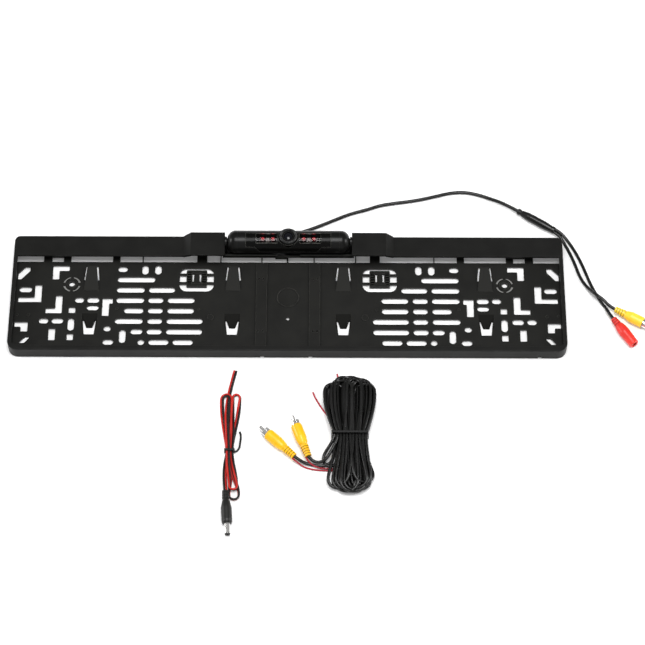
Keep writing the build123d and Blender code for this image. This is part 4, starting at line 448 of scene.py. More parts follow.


# Its edge gain paints highlights along the edges of the tray's strips and rings.
TRAY_PLASTIC = Finish(
    "tray_plastic", (0.0082, 0.0082, 0.0074), (0.0108, 0.0108, 0.0096), (0.44, 0.56), grain_scale=1200.0,
    grain_depth=0.18, specular=0.13, wear_and_highlight_gain=9.0, rounding=0.0005, painted_shade=0.06, effect=Effect.PANELS,
)
FRAME_PLASTIC = Finish(
    "frame_plastic", (0.0062, 0.0062, 0.0057), (0.0085, 0.0085, 0.0078), (0.40, 0.50), grain_scale=1800.0,
    grain_depth=0.10, specular=0.14, wear_and_highlight_gain=3.0, rounding=0.0006,
)
POD_PLASTIC = Finish(
    "pod_plastic", (0.0045, 0.0045, 0.0043), (0.006, 0.006, 0.0057), (0.26, 0.33), grain_scale=1800.0,
    grain_depth=0.06, specular=0.17, wear_and_highlight_gain=5.0, rounding=0.0005,
)
# Its large edge gain paints bright highlights along the cover's edges.
GLOSS_BLACK = Finish(
    "gloss_black", (0.002, 0.002, 0.0018), (0.003, 0.003, 0.0027), (0.20, 0.26), grain_scale=400.0,
    grain_depth=0.01, specular=0.085, wear_and_highlight_gain=55.0, rounding=0.0007,
)
SMOKED_WINDOW = Finish(
    "smoked_window", (0.16, 0.13, 0.13), (0.20, 0.17, 0.16), (0.07, 0.10), grain_scale=400.0, grain_depth=0.0,
    transmission=1.0, ior=1.22, wear_and_highlight_gain=0.2, rounding=0.0001, painted_shade=1.0,
)
# Its large edge gain paints the bright highlight rings of the lens ring.
RING_GREY = Finish(
    "ring_grey", (0.004, 0.004, 0.004), (0.006, 0.006, 0.006), (0.26, 0.34), grain_scale=1800.0,
    grain_depth=0.05, specular=0.2, wear_and_highlight_gain=48.0, rounding=0.0006,
)
BARREL_BLACK = Finish(
    "barrel_black", (0.003, 0.003, 0.003), (0.0045, 0.0045, 0.0045), (0.3, 0.4), grain_scale=1200.0,
    grain_depth=0.05, specular=0.2,
)
LENS_COATING = Finish(
    "lens_coating", (0.002, 0.0022, 0.004), (0.003, 0.0035, 0.006), (0.05, 0.08), grain_scale=300.0,
    grain_depth=0.0, mottle=90.0, specular=0.35,
)
SOFT_RUBBER = Finish(
    "soft_rubber", (0.004, 0.004, 0.004), (0.006, 0.006, 0.006), (0.5, 0.65), grain_scale=1200.0,
    grain_depth=0.12, specular=0.2,
)
STEEL = Finish("steel", (0.45, 0.45, 0.46), (0.6, 0.6, 0.61), (0.25, 0.4), grain_depth=0.06, metallic=1.0)
BLACK_STEEL = Finish(
    "black_steel", (0.012, 0.012, 0.012), (0.02, 0.02, 0.02), (0.35, 0.5), grain_depth=0.06, metallic=0.6,
    specular=0.3,
)
CIRCUIT_GREEN = Finish(
    "circuit_green", (0.01, 0.08, 0.03), (0.015, 0.12, 0.04), (0.3, 0.45), grain_scale=900.0,
)
CHIP_GREY = Finish("chip_grey", (0.08, 0.08, 0.09), (0.12, 0.12, 0.13), (0.2, 0.3))
# Its emission paints the red reflection on the lamps' crowns.
LAMP_RESIN = Finish(
    "lamp_resin", (0.10, 0.01, 0.015), (0.15, 0.015, 0.02), (0.05, 0.1), coat=0.6, effect=Effect.CROWN,
    painted_light_strength=3.4,
)
# Its emission paints a glint on the cups between the two lamps of a pair.
REFLECTOR = Finish(
    "reflector", (0.02, 0.02, 0.02), (0.03, 0.03, 0.03), (0.5, 0.6), specular=0.1, wear_and_highlight_gain=1.0,
    effect=Effect.GLINT, painted_light_strength=1.7,
)
CORD_BLACK = Finish(
    "cord_black", (0.0055, 0.0055, 0.0052), (0.008, 0.008, 0.0075), (0.24, 0.32), grain_scale=1500.0,
    grain_depth=0.015, specular=0.34,
)
WIRE_RED = Finish(
    "wire_red", (0.42, 0.012, 0.008), (0.52, 0.02, 0.012), (0.32, 0.45), grain_scale=1500.0,
    grain_depth=0.06, specular=0.3,
)
WIRE_BLACK = Finish(
    "wire_black", (0.009, 0.007, 0.007), (0.013, 0.01, 0.01), (0.35, 0.45), grain_scale=1500.0,
    grain_depth=0.06, specular=0.3,
)
TRIGGER_RED = Finish(
    "trigger_red", (0.36, 0.008, 0.02), (0.45, 0.012, 0.03), (0.3, 0.42), grain_scale=1500.0,
    grain_depth=0.05, specular=0.3,
)
TIE_BLACK = Finish(
    "tie_black", (0.004, 0.004, 0.004), (0.006, 0.006, 0.006), (0.35, 0.5), grain_scale=1500.0, specular=0.3,
)
PLUG_YELLOW = Finish(
    "plug_yellow", (0.86, 0.45, 0.002), (0.94, 0.53, 0.003), (0.30, 0.42), grain_scale=1500.0,
    grain_depth=0.06, wear_and_highlight_gain=1.1, rounding=0.0001, painted_shade=0.35,
)
SOCKET_YELLOW = Finish(
    "socket_yellow", (0.90, 0.60, 0.03), (0.97, 0.68, 0.045), (0.30, 0.42), grain_scale=1500.0,
    grain_depth=0.06, wear_and_highlight_gain=1.1, rounding=0.0001, painted_shade=0.35,
)
JACK_RED = Finish(
    "jack_red", (0.68, 0.022, 0.014), (0.78, 0.035, 0.022), (0.30, 0.42), grain_scale=1500.0,
    grain_depth=0.06, wear_and_highlight_gain=1.3, rounding=0.0001, painted_shade=0.3,
)
PLUG_BLACK = Finish(
    "plug_black", (0.010, 0.010, 0.0095), (0.015, 0.015, 0.014), (0.34, 0.46), grain_scale=1500.0,
    specular=0.3, rounding=0.0001, painted_shade=0.1,
)
# This grey paints the lit and shaded table seen through the arc slots.
PAINTED_SLOT_VIEW = Finish(
    "ring_floor", (0.28, 0.28, 0.27), (0.50, 0.50, 0.48), (0.4, 0.5), grain_scale=1200.0, mottle=120.0,
    specular=0.2, painted_shade=1.0,
)
NICKEL = Finish(
    "nickel", (0.80, 0.79, 0.77), (0.92, 0.91, 0.89), (0.10, 0.18), grain_depth=0.02, metallic=0.86,
)


# ------------------------------------------------------------------ studio
@dataclass(frozen=True)
class AreaLight:
    """A soft square light that faces a point, all in metres and watts."""

    name: str
    spot: Point
    aim: Point
    size: float
    power: float

    def build(self) -> None:
        """Hang the light."""
        lamp = bpy.data.lights.new(self.name, "AREA")
        lamp.shape = "SQUARE"
        lamp.size = self.size
        lamp.energy = self.power
        holder = bpy.data.objects.new(self.name, lamp)
        holder.location = self.spot
        holder.rotation_euler = (Vector(self.aim) - Vector(self.spot)).to_track_quat("-Z", "Y").to_euler()
        bpy.context.scene.collection.objects.link(holder)
        LOG.info("light %s", self.name)


@dataclass
class Studio:
    """Camera, floor and lights."""

    lens_mm: float = 133.95
    sensor_mm: float = 36.0
    elevation: float = 60.0
    turn: float = 0.225
    eye: Point = (38.0, -1117.3, 2003.1)
    clip_end: float = 20.0
    floor_side: float = 24.0
    floor_grey: float = 0.93
    floor_glow: float = 0.1
    floor_roughness: float = 0.9
    floor_specular: float = 0.1
    sky_strength: float = 0.24
    lights: tuple[AreaLight, ...] = (
        AreaLight("over_light", (0.05, -0.18, 2.0), (0.0, 0.0, 0.0), 1.0, 34.0),
        AreaLight("left_light", (-1.8, 0.1, 0.75), (0.0, 0.0, 0.0), 0.6, 15.0),
        AreaLight("right_light", (1.9, 0.05, 0.75), (0.05, 0.0, 0.0), 0.6, 19.0),
        AreaLight("front_light", (0.1, -2.0, 1.1), (0.0, 0.0, 0.0), 2.4, 8.0),
    )

    def camera(self) -> None:
        """Place the camera and make it the scene's camera."""
        optics = bpy.data.cameras.new("product_camera")
        optics.lens = self.lens_mm
        optics.sensor_width = self.sensor_mm
        optics.clip_end = self.clip_end
        holder = bpy.data.objects.new("product_camera", optics)
        holder.location = place(*self.eye)
        holder.rotation_euler = (math.radians(90.0 - self.elevation), 0.0, math.radians(self.turn))
        bpy.context.scene.collection.objects.link(holder)
        bpy.context.scene.camera = holder
        LOG.info("camera %s", holder.name)

    def floor(self) -> None:
        """Add the pale floor."""
        bpy.ops.object.select_all(action="DESELECT")
        bpy.ops.mesh.primitive_plane_add(size=self.floor_side, location=(0.0, 0.0, 0.0))
        floor = bpy.context.object
        floor.name = "floor"
        made = bpy.data.materials.new("white_table")
        made.use_nodes = True
        shader = made.node_tree.nodes["Principled BSDF"]
        shader.inputs["Base Color"].default_value = (self.floor_grey, self.floor_grey, self.floor_grey, 1.0)
        shader.inputs["Emission Color"].default_value = (1.0, 1.0, 1.0, 1.0)
        shader.inputs["Emission Strength"].default_value = self.floor_glow
        shader.inputs["Roughness"].default_value = self.floor_roughness
        shader.inputs["Specular IOR Level"].default_value = self.floor_specular
        floor.data.materials.append(made)
        LOG.info("stage %s", floor.name)

    def surroundings(self) -> None:
        """Set the dim white surroundings and the plain view transform."""
        bpy.context.scene.view_settings.view_transform = "Standard"
        world = bpy.data.worlds.new("white_room")
        bpy.context.scene.world = world
        world.use_nodes = True
        sky = world.node_tree.nodes["Background"]
        sky.inputs["Color"].default_value = (1.0, 1.0, 1.0, 1.0)
        sky.inputs["Strength"].default_value = self.sky_strength

    def build(self) -> None:
        """Build the whole studio."""
        self.camera()
        self.floor()
        self.surroundings()
        for light in self.lights:
            light.build()


# ------------------------------------------------------------------ routes, in route millimetres
LOOSE_LOOP: list[Point] = [
    (43.9, -92.4, 9.6), (40.8, -97.6, 7.4), (37.0, -102.6, 5.0), (34.6, -108.0, 3.0), (35.4, -113.4, 2.0),
    (39.6, -116.6, 1.8), (44.6, -116.0, 1.9), (47.8, -111.8, 2.6),
]
GROMMET_FACE = (-2.585, 133.247, 1.75)
PIGTAIL_ROUTE: list[Point] = [
    GROMMET_FACE, (8.0, 138.9, 1.75), (20.0, 143.4, 1.75), (32.0, 148.6, 1.75), (45.0, 154.9, 1.75),
    (61.0, 162.4, 1.75), (77.0, 167.0, 1.75), (90.0, 172.3, 1.75), (105.0, 174.9, 1.75),
    (126.0, 178.0, 1.75), (146.5, 183.4, 1.75), (160.0, 187.2, 1.75), (173.5, 188.3, 1.75),
    (187.0, 185.3, 1.75), (200.0, 179.9, 2.4), (212.92, 173.15, 4.15), (225.9, 164.7, 4.15),
]
SPLITTER_LEFT, SPLITTER_LEFT_RUN = (260.21, 140.42, 4.15), (265.23, 137.14, 4.15)
SPLITTER_RIGHT, SPLITTER_RIGHT_RUN = (261.98, 143.13, 4.15), (267.0, 139.85, 4.15)
VIDEO_TAIL_ROUTE: list[Point] = [
    SPLITTER_LEFT, SPLITTER_LEFT_RUN, (269.0, 131.2, 2.2), (272.6, 123.6, 1.6), (276.6, 114.0, 1.6),
    (280.2, 103.0, 1.6), (283.2, 92.0, 1.6), (287.6, 81.2, 3.0), (293.6, 71.6, 6.6), (299.0, 66.0, 7.8),
    (304.4, 61.6, 7.6), (310.57, 55.06, 5.35), (315.9, 51.9, 5.35),
]
POWER_TAIL_ROUTE: list[Point] = [
    SPLITTER_RIGHT, SPLITTER_RIGHT_RUN, (272.4, 133.6, 2.2), (277.4, 125.5, 1.6), (282.4, 115.2, 1.6),
    (286.9, 103.6, 1.6), (290.6, 92.0, 1.6), (294.4, 80.4, 1.6), (298.8, 70.2, 1.6), (303.4, 61.0, 1.6),
    (307.6, 53.4, 3.6), (309.93, 46.53, 5.35), (313.5, 41.1, 5.35),
]
LEAD_A_ROUTE: list[Point] = [
    (7.7, -107.9, 5.35), (11.6, -110.6, 4.6), (17.5, -113.4, 2.4), (24.5, -115.1, 1.6), (31.0, -116.2, 1.6),
    (37.4, -115.6, 1.6), (42.6, -111.4, 1.6), (45.0, -104.0, 1.6), (45.2, -95.0, 1.6),
]
LEAD_B_ROUTE: list[Point] = [
    (47.0, -93.0, 10.4), (44.4, -99.6, 9.8), (41.0, -106.0, 8.2), (37.4, -111.0, 6.4), (33.0, -113.6, 4.8),
    (28.2, -113.6, 4.4), (23.8, -111.4, 4.8), (20.8, -107.8, 5.35),
]
TRIGGER_A_ROUTE: list[Point] = [
    (18.5, -108.65, 5.0), (20.3, -111.6, 4.2), (23.4, -114.6, 3.0), (27.4, -117.0, 2.2),
    (31.6, -118.0, 1.2), (37.0, -118.4, 0.85), (44.0, -118.6, 0.85),
]
TRIGGER_B_ROUTE: list[Point] = [
    (6.0, -109.7, 5.0), (10.6, -112.9, 3.0), (16.0, -116.6, 1.2), (22.5, -118.9, 0.85),
    (29.0, -120.0, 0.85), (36.0, -120.4, 0.85), (44.0, -120.6, 0.85),
]
TRIGGER_TAIL_ROUTE: list[Point] = [
    (46.0, -68.6, 0.85), (41.6, -66.0, 0.85), (37.5, -61.4, 0.85), (33.0, -54.6, 0.85), (28.8, -47.4, 0.85),
    (26.2, -42.0, 0.85), (24.6, -37.8, 0.85),
]
TRIGGER_STUB_ROUTE: list[Point] = [
    (51.0, -50.0, 0.85), (50.6, -42.0, 0.85), (50.0, -34.0, 0.85), (49.2, -26.0, 0.85), (47.6, -17.8, 0.85),
]


# ------------------------------------------------------------------ cords
@dataclass
class Cord:
    """A free cord that follows a given route as one smooth curve."""

    name: str
    route: list[Point]
    diameter: float
    finish: Finish
    slot: str
    stands_for: tuple[str, ...]  # CAD nodes that the cord replaces
    length: float
    far_end: str
    carries: tuple[str, ...] = ()
    lay: str = "loose"
    resolution: int = 6

    def build(self) -> None:
        data = bpy.data.curves.new(self.name, "CURVE")
        data.dimensions = "3D"
        spline = data.splines.new("NURBS")
        spline.points.add(len(self.route) - 1)
        for control, spot in zip(spline.points, self.route):
            control.co = (*place(*spot), 1.0)
            control.radius = self.diameter * MM / 2
        spline.use_endpoint_u = True
        spline.order_u = 3
        spline.resolution_u = self.resolution
        data.bevel_depth = 1.0  # each point's radius gives the thickness
        data.bevel_resolution = 4
        data.use_fill_caps = True
        piece = bpy.data.objects.new(self.name, data)
        bpy.context.scene.collection.objects.link(piece)
        data.materials.append(self.finish.material())
        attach(piece, "root")
        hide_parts(*self.stands_for)
        LOG.info("cord %s with %d points", self.name, len(self.route))


@dataclass(frozen=True)
class Leg:
    """One straight leg of the bundle: its cell at the tie and its place at both ends."""

    column: float
    layer: float
    top_x: float
    low_x: float
    lift: float = 0.0


@dataclass
class VideoHank:
    """The video lead's bundle, in route millimetres: legs in four layers, drawn together at the tie."""

    middle_x: float = 59.9
    tie_y: float = -86.0
    top_y: float = -24.2
    low_y: float = -144.6
    pitch_tie: float = 2.9
    pitch_top: float = 4.75
    pitch_low: float = 4.25
    layer_tie: float = 3.0
    layer_end: float = 2.5
    first_z: float = 1.62
    top_layer: float = 3.0
    above_tie: tuple[float, ...] = (-77.0, -66.0, -54.0)  # heights of a rising leg's points on the table
    below_tie: tuple[float, ...] = (-104.0, -95.0)
    leaving_y: float = -114.0  # last point of a falling leg before its half turn
    entering_ys: tuple[float, ...] = (-119.0, -109.0)  # first points of the next leg after it
    spread_top: float = 42.0  # distance from the tie over which the legs fan out
    spread_low: float = 46.0
    spread_power: float = 1.5
    bend_steps: int = 6
    bend_fullness: float = 0.85
    crest_fall: float = 0.034  # how much lower the crests lie toward the sides
    crest_stray: tuple[float, float] = (-0.9, 2.6)
    stray: float = 1.0  # how far a leg's ends lie from an even spacing, at most
    width_top: tuple[float, float] = (18.8, 21.6)  # width of a half turn
    width_low: tuple[float, float] = (18.8, 21.0)
    low_lean: float = 1.3
    first_low_x: float = -18.0
    right_half: float = 0.6  # right of this column, a rising leg lies to the left of the leg on top of it
    crossing_lift: float = 1.9  # how much higher a crossing leg lies
    loose_column: float = -5.0  # the leg on top that ends in the loose loop
    chance: random.Random = field(default_factory=lambda: random.Random(11))
    crossing: dict[float, tuple[float, float]] = field(  # shifts of the ends of legs that cross others
        default_factory=lambda: {-2.0: (5.6, 1.5), 1.0: (-2.0, -5.2), 3.0: (-4.6, 3.8), 0.0: (2.0, 5.4)})

    def columns(self) -> list[tuple[float, float, float, float]]:
        """List the legs' cells at the tie in winding order.

        Returns:
            Column and layer of each rising leg, then of the leg that comes down on top of it.
        """
        inner = [(over - 5.1, 0.0, over, 2.0) for over in (0.5, 1.5, 2.5, 3.5, 4.5)]
        inner += [(over + 4.9, 0.0, over, 2.0) for over in (-4.5, -3.5, -2.5, -1.5, -0.5)]
        outer = [(over - 5.0, 1.0, over, 3.0) for over in (5.0, 4.0, 3.0, 2.0, 1.0)]
        outer += [(over + 5.0, 1.0, over, 3.0) for over in (0.0, -1.0, -2.0, -3.0)]
        return inner + outer + [(1.0, 1.0, -5.0, 3.0), (-5.0, 1.0, -4.0, 3.0)]

    def spot(self, leg: Leg, y: float) -> Point:
        """Point of a leg at one height.

        Args:
            leg: The leg.
            y: Height on the table.

        Returns:
            The point in route millimetres.
        """
        if y > self.tie_y:
            reach = min((y - self.tie_y) / self.spread_top, 1.0)
            share, end_x = math.sin(reach * math.pi / 2), leg.top_x
        else:
            reach = min((self.tie_y - y) / self.spread_low, 1.0)
            share, end_x = reach ** self.spread_power, leg.low_x
        tie_x = leg.column * self.pitch_tie
        tie_z = self.first_z + leg.layer * self.layer_tie
        end_z = self.first_z + leg.layer * self.layer_end + leg.lift
        return (self.middle_x + tie_x + (end_x - tie_x) * share, y, tie_z + (end_z - tie_z) * share)

    def crest(self, middle: float, upper: bool) -> float:
        """Height of a crest, lower toward the sides of the bundle and a little irregular.

        Args:
            middle: Middle of the half turn, from the middle of the bundle.
            upper: Whether it lies at the top end.

        Returns:
            The height on the table.
        """
        drop = self.crest_fall * middle * middle + self.chance.uniform(*self.crest_stray)
        return self.top_y - drop if upper else self.low_y + drop

    def bend(self, start: Leg, end: Leg, upper: bool) -> list[Point]:
        """Half turn from one leg to another.

        Args:
            start: The leg that it comes from.
            end: The leg that it goes to.
            upper: Whether it lies at the top end.

        Returns:
            Its points in order.
        """
        start_x, end_x = (start.top_x, end.top_x) if upper else (start.low_x, end.low_x)
        rise = abs(end_x - start_x) / 2
        crest = self.crest((start_x + end_x) / 2, upper)
        way = 1.0 if upper else -1.0
        first = self.spot(start, crest - way * rise)
        last = self.spot(end, crest - way * rise)
        points = []
        for step in range(self.bend_steps + 1):
            angle = math.pi * step / self.bend_steps
            share = 0.5 - 0.5 * math.cos(angle)
            x = first[0] + (last[0] - first[0]) * share
            z = first[2] + (last[2] - first[2]) * step / self.bend_steps
            points.append((x, crest - way * rise * (1 - math.sin(angle) ** self.bend_fullness), z))
        return points

    def legs(self) -> list[Leg]:
        """Lay out the legs.

        Returns:
            All legs in winding order, each rising leg before its leg on top.
        """
        legs: list[Leg] = []
        low_x = self.first_low_x
        for under, under_layer, over, over_layer in self.columns():
            side = 1.0 if over > self.right_half else -1.0
            crossing = self.crossing.get(over) if over_layer == self.top_layer else None
            swing_top, swing_low = crossing or (0.0, 0.0)
            over_top = over * self.pitch_top + swing_top + self.chance.uniform(-self.stray, self.stray)
            stray_low = self.chance.uniform(-self.stray, self.stray)
            over_low = over * self.pitch_low + swing_low + stray_low - self.low_lean
            under_top = over_top - side * self.chance.uniform(*self.width_top)
            legs.append(Leg(under, under_layer, under_top, low_x))
            legs.append(Leg(over, over_layer, over_top, over_low, self.crossing_lift if crossing else 0.0))
            low_x = over_low - side * self.chance.uniform(*self.width_low)
        return legs

    def route(self) -> list[Point]:
        """Wind the bundle.

        Returns:
            The points of all turns, from the bottom layer to the top.
        """
        legs = self.legs()
        rising = (self.tie_y, *self.above_tie)
        points: list[Point] = []
        for index in range(0, len(legs), 2):
            under, over = legs[index], legs[index + 1]
            heights = rising if index == 0 else (*self.below_tie, *rising)
            points += [self.spot(under, y) for y in heights]
            points += self.bend(under, over, upper=True)
            points += [self.spot(over, y) for y in reversed(rising)]
            if over.column == self.loose_column:
                points += LOOSE_LOOP
            elif index + 2 < len(legs):
                after = legs[index + 2]
                points += [self.spot(over, y) for y in (*reversed(self.below_tie), self.leaving_y)]
                points += self.bend(over, after, upper=False)
                points += [self.spot(after, y) for y in self.entering_ys]
        return points


@dataclass
class PowerLead:
    """The red and the black wire of the power lead, side by side through four half turns."""

    offset: float = 1.02  # from the pair's middle line to each wire
    lift_share: float = 0.7  # how much of the offset a full twist lifts a wire by
    corner: float = math.tan(math.pi / 8)  # an octagon's half side, for a half turn as round as a curve
    leg_share: float = 1.7  # where a half turn leaves its legs, in radii below its crest
    shares: tuple[float, ...] = (0.0, 0.15, 0.35, 0.65, 0.85, 1.0)  # change of height and twist so far

    def half_turn(self, start: Station, end: Station, crest: float) -> list[Station]:
        """Round half turn between two legs.

        Args:
            start: The leg that it comes from.
            end: The leg that it goes to, at the same height on the table.
            crest: Height of its crest on the table.

        Returns:
            Its stations in order, in place of the two given.
        """
        way = 1.0 if crest > start[1] else -1.0
        radius = abs(end[0] - start[0]) / 2
        across = (radius - radius * self.corner) * (1.0 if end[0] > start[0] else -1.0)
        low = crest - way * self.leg_share * radius
        shoulder = crest - way * radius * (1 - self.corner)
        spots = [
            (start[0], low), (start[0], shoulder), (start[0] + across, crest),
            (end[0] - across, crest), (end[0], shoulder), (end[0], low),
        ]
        return [
            (x, y, start[2] + (end[2] - start[2]) * share, start[3] + (end[3] - start[3]) * share)
            for (x, y), share in zip(spots, self.shares)
        ]

    def stations(self) -> list[Station]:
        """Follow the pair's middle line.

        Returns:
            Its stations from the plug to the bare ends.
        """
        return [
            (-55.4, -143.9, 5.0, 0), (-56.2, -137.0, 3.4, 0), (-56.9, -126.0, 2.2, 0),
            (-56.6, -114.0, 1.3, 0), (-55.4, -101.4, 1.3, 90), (-56.4, -88.0, 1.2, 180),
            (-59.2, -72.0, 1.1, 180), (-60.8, -60.0, 1.1, 180),
            *self.half_turn((-61.2, -56.0, 1.2, 180), (-53.0, -56.0, 3.4, 180), -42.0),
            (-53.0, -60.0, 3.4, 180), (-53.4, -72.0, 3.4, 180), (-54.2, -88.0, 3.3, 180),
            (-53.6, -101.4, 3.3, 110), (-52.0, -116.0, 3.0, 40), (-48.2, -129.0, 2.0, 0),
            (-45.0, -137.0, 1.6, -40),
            *self.half_turn((-43.2, -139.0, 1.75, -80), (-52.2, -139.0, 1.75, -80), -150.8),
            (-51.6, -134.0, 1.4, -20), (-51.2, -119.0, 1.3, 20), (-51.0, -101.4, 1.3, 90),
            (-49.4, -84.0, 1.2, 160), (-46.4, -68.0, 1.1, 180), (-45.0, -56.0, 1.3, 160),
            *self.half_turn((-44.2, -52.0, 1.75, 110), (-50.8, -52.0, 1.75, 70), -41.2),
            (-51.0, -56.0, 1.4, 40), (-50.9, -68.0, 1.5, 20), (-50.2, -84.0, 3.3, 0),
            (-51.2, -101.4, 3.4, 0), (-49.8, -114.0, 3.4, 0), (-47.0, -125.0, 3.3, 30),
            *self.half_turn((-45.0, -130.0, 3.3, 80), (-52.2, -130.0, 4.6, 110), -141.6),
            (-53.2, -124.0, 5.0, 150), (-54.0, -113.0, 5.1, 180), (-54.2, -101.4, 5.1, 180),
            (-55.2, -84.0, 5.1, 180), (-56.4, -66.0, 4.4, 180), (-56.2, -54.0, 1.9, 180),
            (-54.9, -43.0, 1.1, 180), (-52.8, -31.0, 1.1, 180), (-49.2, -14.9, 1.05, 180),
        ]

    def wire(self, side: float) -> list[Point]:
        """Follow the pair's middle line beside it, as one wire that turns about the other.

        Args:
            side: 1 for the wire on the right of its way where the twist is 0, and -1 for the other.

        Returns:
            The points of the wire.
        """
        route = self.stations()
        moved = []
        for index, (x, y, z, degrees) in enumerate(route):
            before = route[max(index - 1, 0)]
            after = route[min(index + 1, len(route) - 1)]
            way = Vector((after[0] - before[0], after[1] - before[1], 0.0)).normalized()
            across = side * self.offset * math.cos(math.radians(degrees))
            lift = self.lift_share * side * self.offset * math.sin(math.radians(degrees))
            moved.append((x + way.y * across, y - way.x * across, max(z + lift, self.offset)))
        return moved


@dataclass
class Cables:
    """Every cord of the part, with the plugs that it carries."""

    hank: VideoHank = field(default_factory=VideoHank)
    power: PowerLead = field(default_factory=PowerLead)

    def camera_cords(self) -> list[Cord]:
        """Lay out the camera's cable and its two tails.

        Returns:
            The three cords.
        """
        return [
            Cord("camera_cable", PIGTAIL_ROUTE, 3.4, CORD_BLACK, "black_jacket", ("pigtail_cord",), 243.6,
                 "connector", carries=("y_splitter",)),
            Cord("video_tail_cord", VIDEO_TAIL_ROUTE, 3.1, CORD_BLACK, "black_jacket", ("video_tail",), 108.0,
                 "connector", carries=("video_socket_body", "video_socket_shell", "video_socket_core")),
            Cord("power_tail_cord", POWER_TAIL_ROUTE, 3.1, CORD_BLACK, "black_jacket", ("power_tail",), 116.0,
                 "connector", carries=("power_jack_body", "power_jack_contact")),
        ]

    def video_lead(self) -> Cord:
        """Lay out the long video lead.

        Returns:
            The cord, from one plug through the bundle's turns to the other plug.
        """
        route = LEAD_A_ROUTE + self.hank.route() + LEAD_B_ROUTE
        LOG.info("video lead runs over %.0f mm", sum(math.dist(a, b) for a, b in zip(route, route[1:])))
        return Cord(
            "video_lead", route, 3.05, CORD_BLACK, "black_jacket",
            ("video_lead_a", "video_lead_b", "video_hank"), 5200.0, "plug", lay="coiled", resolution=4,
            carries=("rca_plug_a_body", "rca_plug_a_skirt", "rca_plug_a_pin", "rca_plug_b_body",
                     "rca_plug_b_skirt", "rca_plug_b_pin", "hank_ties"),
        )

    def power_wires(self) -> list[Cord]:
        """Lay out the power lead.

        Returns:
            Its red wire and its black one.
        """
        return [
            Cord("power_wire_red", self.power.wire(1.0), 2.0, WIRE_RED, "red_wire",
                 ("power_hank", "power_tail_red"), 570.0, "bare", lay="coiled",
                 carries=("power_plug_body", "power_plug_barrel", "power_plug_insulator")),
            Cord("power_wire_black", self.power.wire(-1.0), 2.0, WIRE_BLACK, "black_jacket",
                 ("power_tail_black",), 570.0, "bare", lay="coiled"),
        ]

    def trigger_wires(self) -> list[Cord]:
        """Lay out the ends of the trigger wires that come out of the bundle.

        Returns:
            The four cords.
        """
        ends = (
            ("trigger_cord_a", TRIGGER_A_ROUTE, "trigger_wire_a", 30.0, "object"),
            ("trigger_cord_b", TRIGGER_B_ROUTE, "trigger_wire_b", 41.0, "object"),
            ("trigger_end_a", TRIGGER_TAIL_ROUTE, "trigger_tail_a", 38.0, "bare"),
            ("trigger_end_b", TRIGGER_STUB_ROUTE, "trigger_tail_b", 32.3, "bare"),
        )
        return [
            Cord(name, route, 1.6, TRIGGER_RED, "trigger_red", (node,), length, far_end)
            for name, route, node, length, far_end in ends
        ]

    def build(self) -> None:
        """Make all cords."""
        for cord in (*self.camera_cords(), self.video_lead(), *self.power_wires(), *self.trigger_wires()):
            cord.build()


# ------------------------------------------------------------------ sub-assemblies
@dataclass
class SubAssembly:
    """Nodes of the CAD model that belong together, each with its finish."""

    finishes: dict[str, Finish]

    def dress(self) -> None:
        """Give each node its finish in every material slot."""
        for node, finish in self.finishes.items():
            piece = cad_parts[node]
            material = finish.material()
            if not piece.material_slots:
                piece.data.materials.append(material)
            for holder in piece.material_slots:
                holder.material = material
            LOG.info("piece %s in %s", node, finish.name)


@dataclass
class RingFloors:
    """Grey sheets that close the arc grooves round the vehicle's two screws, painted as the lit and shaded
    table below.
    """

    middle: Point = (210.0, 79.5, 1.9)
    inner: float = 6.3
    outer: float = 8.9
    thickness: float = 0.5
    sides: int = 72

    def build(self) -> None:
        """Model one floor, then copy it to the other side."""
        first = self.model("bolt_ring_floor_right")
        twin = bpy.data.objects.new("bolt_ring_floor_left", first.data.copy())
        bpy.context.scene.collection.objects.link(twin)
        for piece, side in ((first, 1.0), (twin, -1.0)):
            x, y, z = self.middle
            piece.data.transform(Matrix.Translation(place(side * x, y, z)))
            piece.data.materials.append(PAINTED_SLOT_VIEW.material())
            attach(piece, "root")
            LOG.info("piece %s in %s", piece.name, PAINTED_SLOT_VIEW.name)

    def model(self, name: str) -> bpy.types.Object:
        """Model one flat ring at the origin, with its top at zero.

        Args:
            name: Name of the piece.

        Returns:
            The piece.
        """
        bpy.ops.object.select_all(action="DESELECT")
        bpy.ops.mesh.primitive_circle_add(vertices=self.sides, radius=self.inner * MM)
        piece = bpy.context.object
        piece.name = name
        bpy.ops.object.mode_set(mode="EDIT")
        bpy.ops.mesh.select_all(action="SELECT")
        bpy.ops.mesh.extrude_edges_move()
        grow = self.outer / self.inner
        bpy.ops.transform.resize(value=(grow, grow, 1.0), center_override=(0.0, 0.0, 0.0))
        bpy.ops.mesh.select_all(action="SELECT")
        bpy.ops.mesh.extrude_region_move(TRANSFORM_OT_translate={"value": (0.0, 0.0, -self.thickness * MM)})
        bpy.ops.mesh.select_all(action="SELECT")
        bpy.ops.mesh.normals_make_consistent(inside=False)
        bpy.ops.object.mode_set(mode="OBJECT")
        return piece


@dataclass
class TraySide(SubAssembly):
    """The tray against the vehicle, with its hinge pins, its grommet and the floors of its grooves."""

    finishes: dict[str, Finish] = field(default_factory=lambda: {
        "base_tray": TRAY_PLASTIC, "hinge_pins": STEEL, "cable_grommet": SOFT_RUBBER,
    })
    floors: RingFloors = field(default_factory=RingFloors)

    def build(self) -> None:
        """Model the floors and dress the nodes."""
        self.floors.build()
        self.dress()


@dataclass
class HingedFrame(SubAssembly):
    """The front frame with the brackets that carry the camera."""

    finishes: dict[str, Finish] = field(default_factory=lambda: {
        "front_frame": FRAME_PLASTIC, "pivot_bracket_left": POD_PLASTIC, "pivot_bracket_right": POD_PLASTIC,
        "bracket_screws": BLACK_STEEL, "pivot_pins": BLACK_STEEL, "friction_washers": TRAY_PLASTIC,
    })


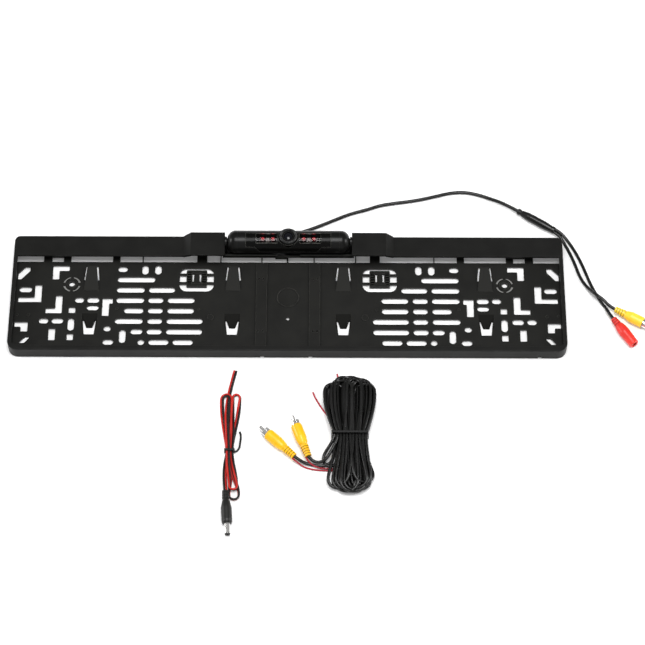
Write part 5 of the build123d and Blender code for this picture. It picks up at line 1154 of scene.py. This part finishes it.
@dataclass
class CameraPod(SubAssembly):
    """The camera's housing with its lens, its boards and its lamps."""

    finishes: dict[str, Finish] = field(default_factory=lambda: {
        "pod_shell": POD_PLASTIC, "end_cap_left": POD_PLASTIC, "end_cap_right": POD_PLASTIC,
        "cap_screws": BLACK_STEEL, "front_cover": GLOSS_BLACK,
        "lamp_window_left": SMOKED_WINDOW, "lamp_window_right": SMOKED_WINDOW,
        "lens_seal": SOFT_RUBBER, "lens_ring": RING_GREY, "lens_barrel": BARREL_BLACK,
        "lens_glass": LENS_COATING, "rear_glass": LENS_COATING, "lens_holder": BARREL_BLACK,
        "sensor_board": CIRCUIT_GREEN, "image_sensor": CHIP_GREY,
        "lamp_board_left": CIRCUIT_GREEN, "lamp_board_right": CIRCUIT_GREEN,
        "lamps_left": LAMP_RESIN, "lamps_right": LAMP_RESIN,
        "reflectors_left": REFLECTOR, "reflectors_right": REFLECTOR, "cable_gland": SOFT_RUBBER,
    })


@dataclass
class CordEnds(SubAssembly):
    """The plugs, the sockets, the splitter and the ties on the cords."""

    finishes: dict[str, Finish] = field(default_factory=lambda: {
        "y_splitter": CORD_BLACK, "hank_ties": TIE_BLACK,
        "video_socket_body": SOCKET_YELLOW, "video_socket_shell": NICKEL, "video_socket_core": PLUG_BLACK,
        "power_jack_body": JACK_RED, "power_jack_contact": NICKEL,
        "power_plug_body": PLUG_BLACK, "power_plug_barrel": NICKEL, "power_plug_insulator": PLUG_BLACK,
        "rca_plug_a_body": PLUG_YELLOW, "rca_plug_a_skirt": NICKEL, "rca_plug_a_pin": NICKEL,
        "rca_plug_b_body": PLUG_YELLOW, "rca_plug_b_skirt": NICKEL, "rca_plug_b_pin": NICKEL,
    })


def main() -> None:
    """Build the scene in order."""
    for build_effect in (build_grain, build_smudge, build_edges, build_panels, build_crown):
        build_effect()
    Studio().build()
    Cables().build()
    TraySide().build()
    for assembly in (HingedFrame(), CameraPod(), CordEnds()):
        assembly.dress()
    bpy.context.view_layer.update()


if __name__ == "__main__":
    logging.basicConfig(level=logging.INFO)
    main()
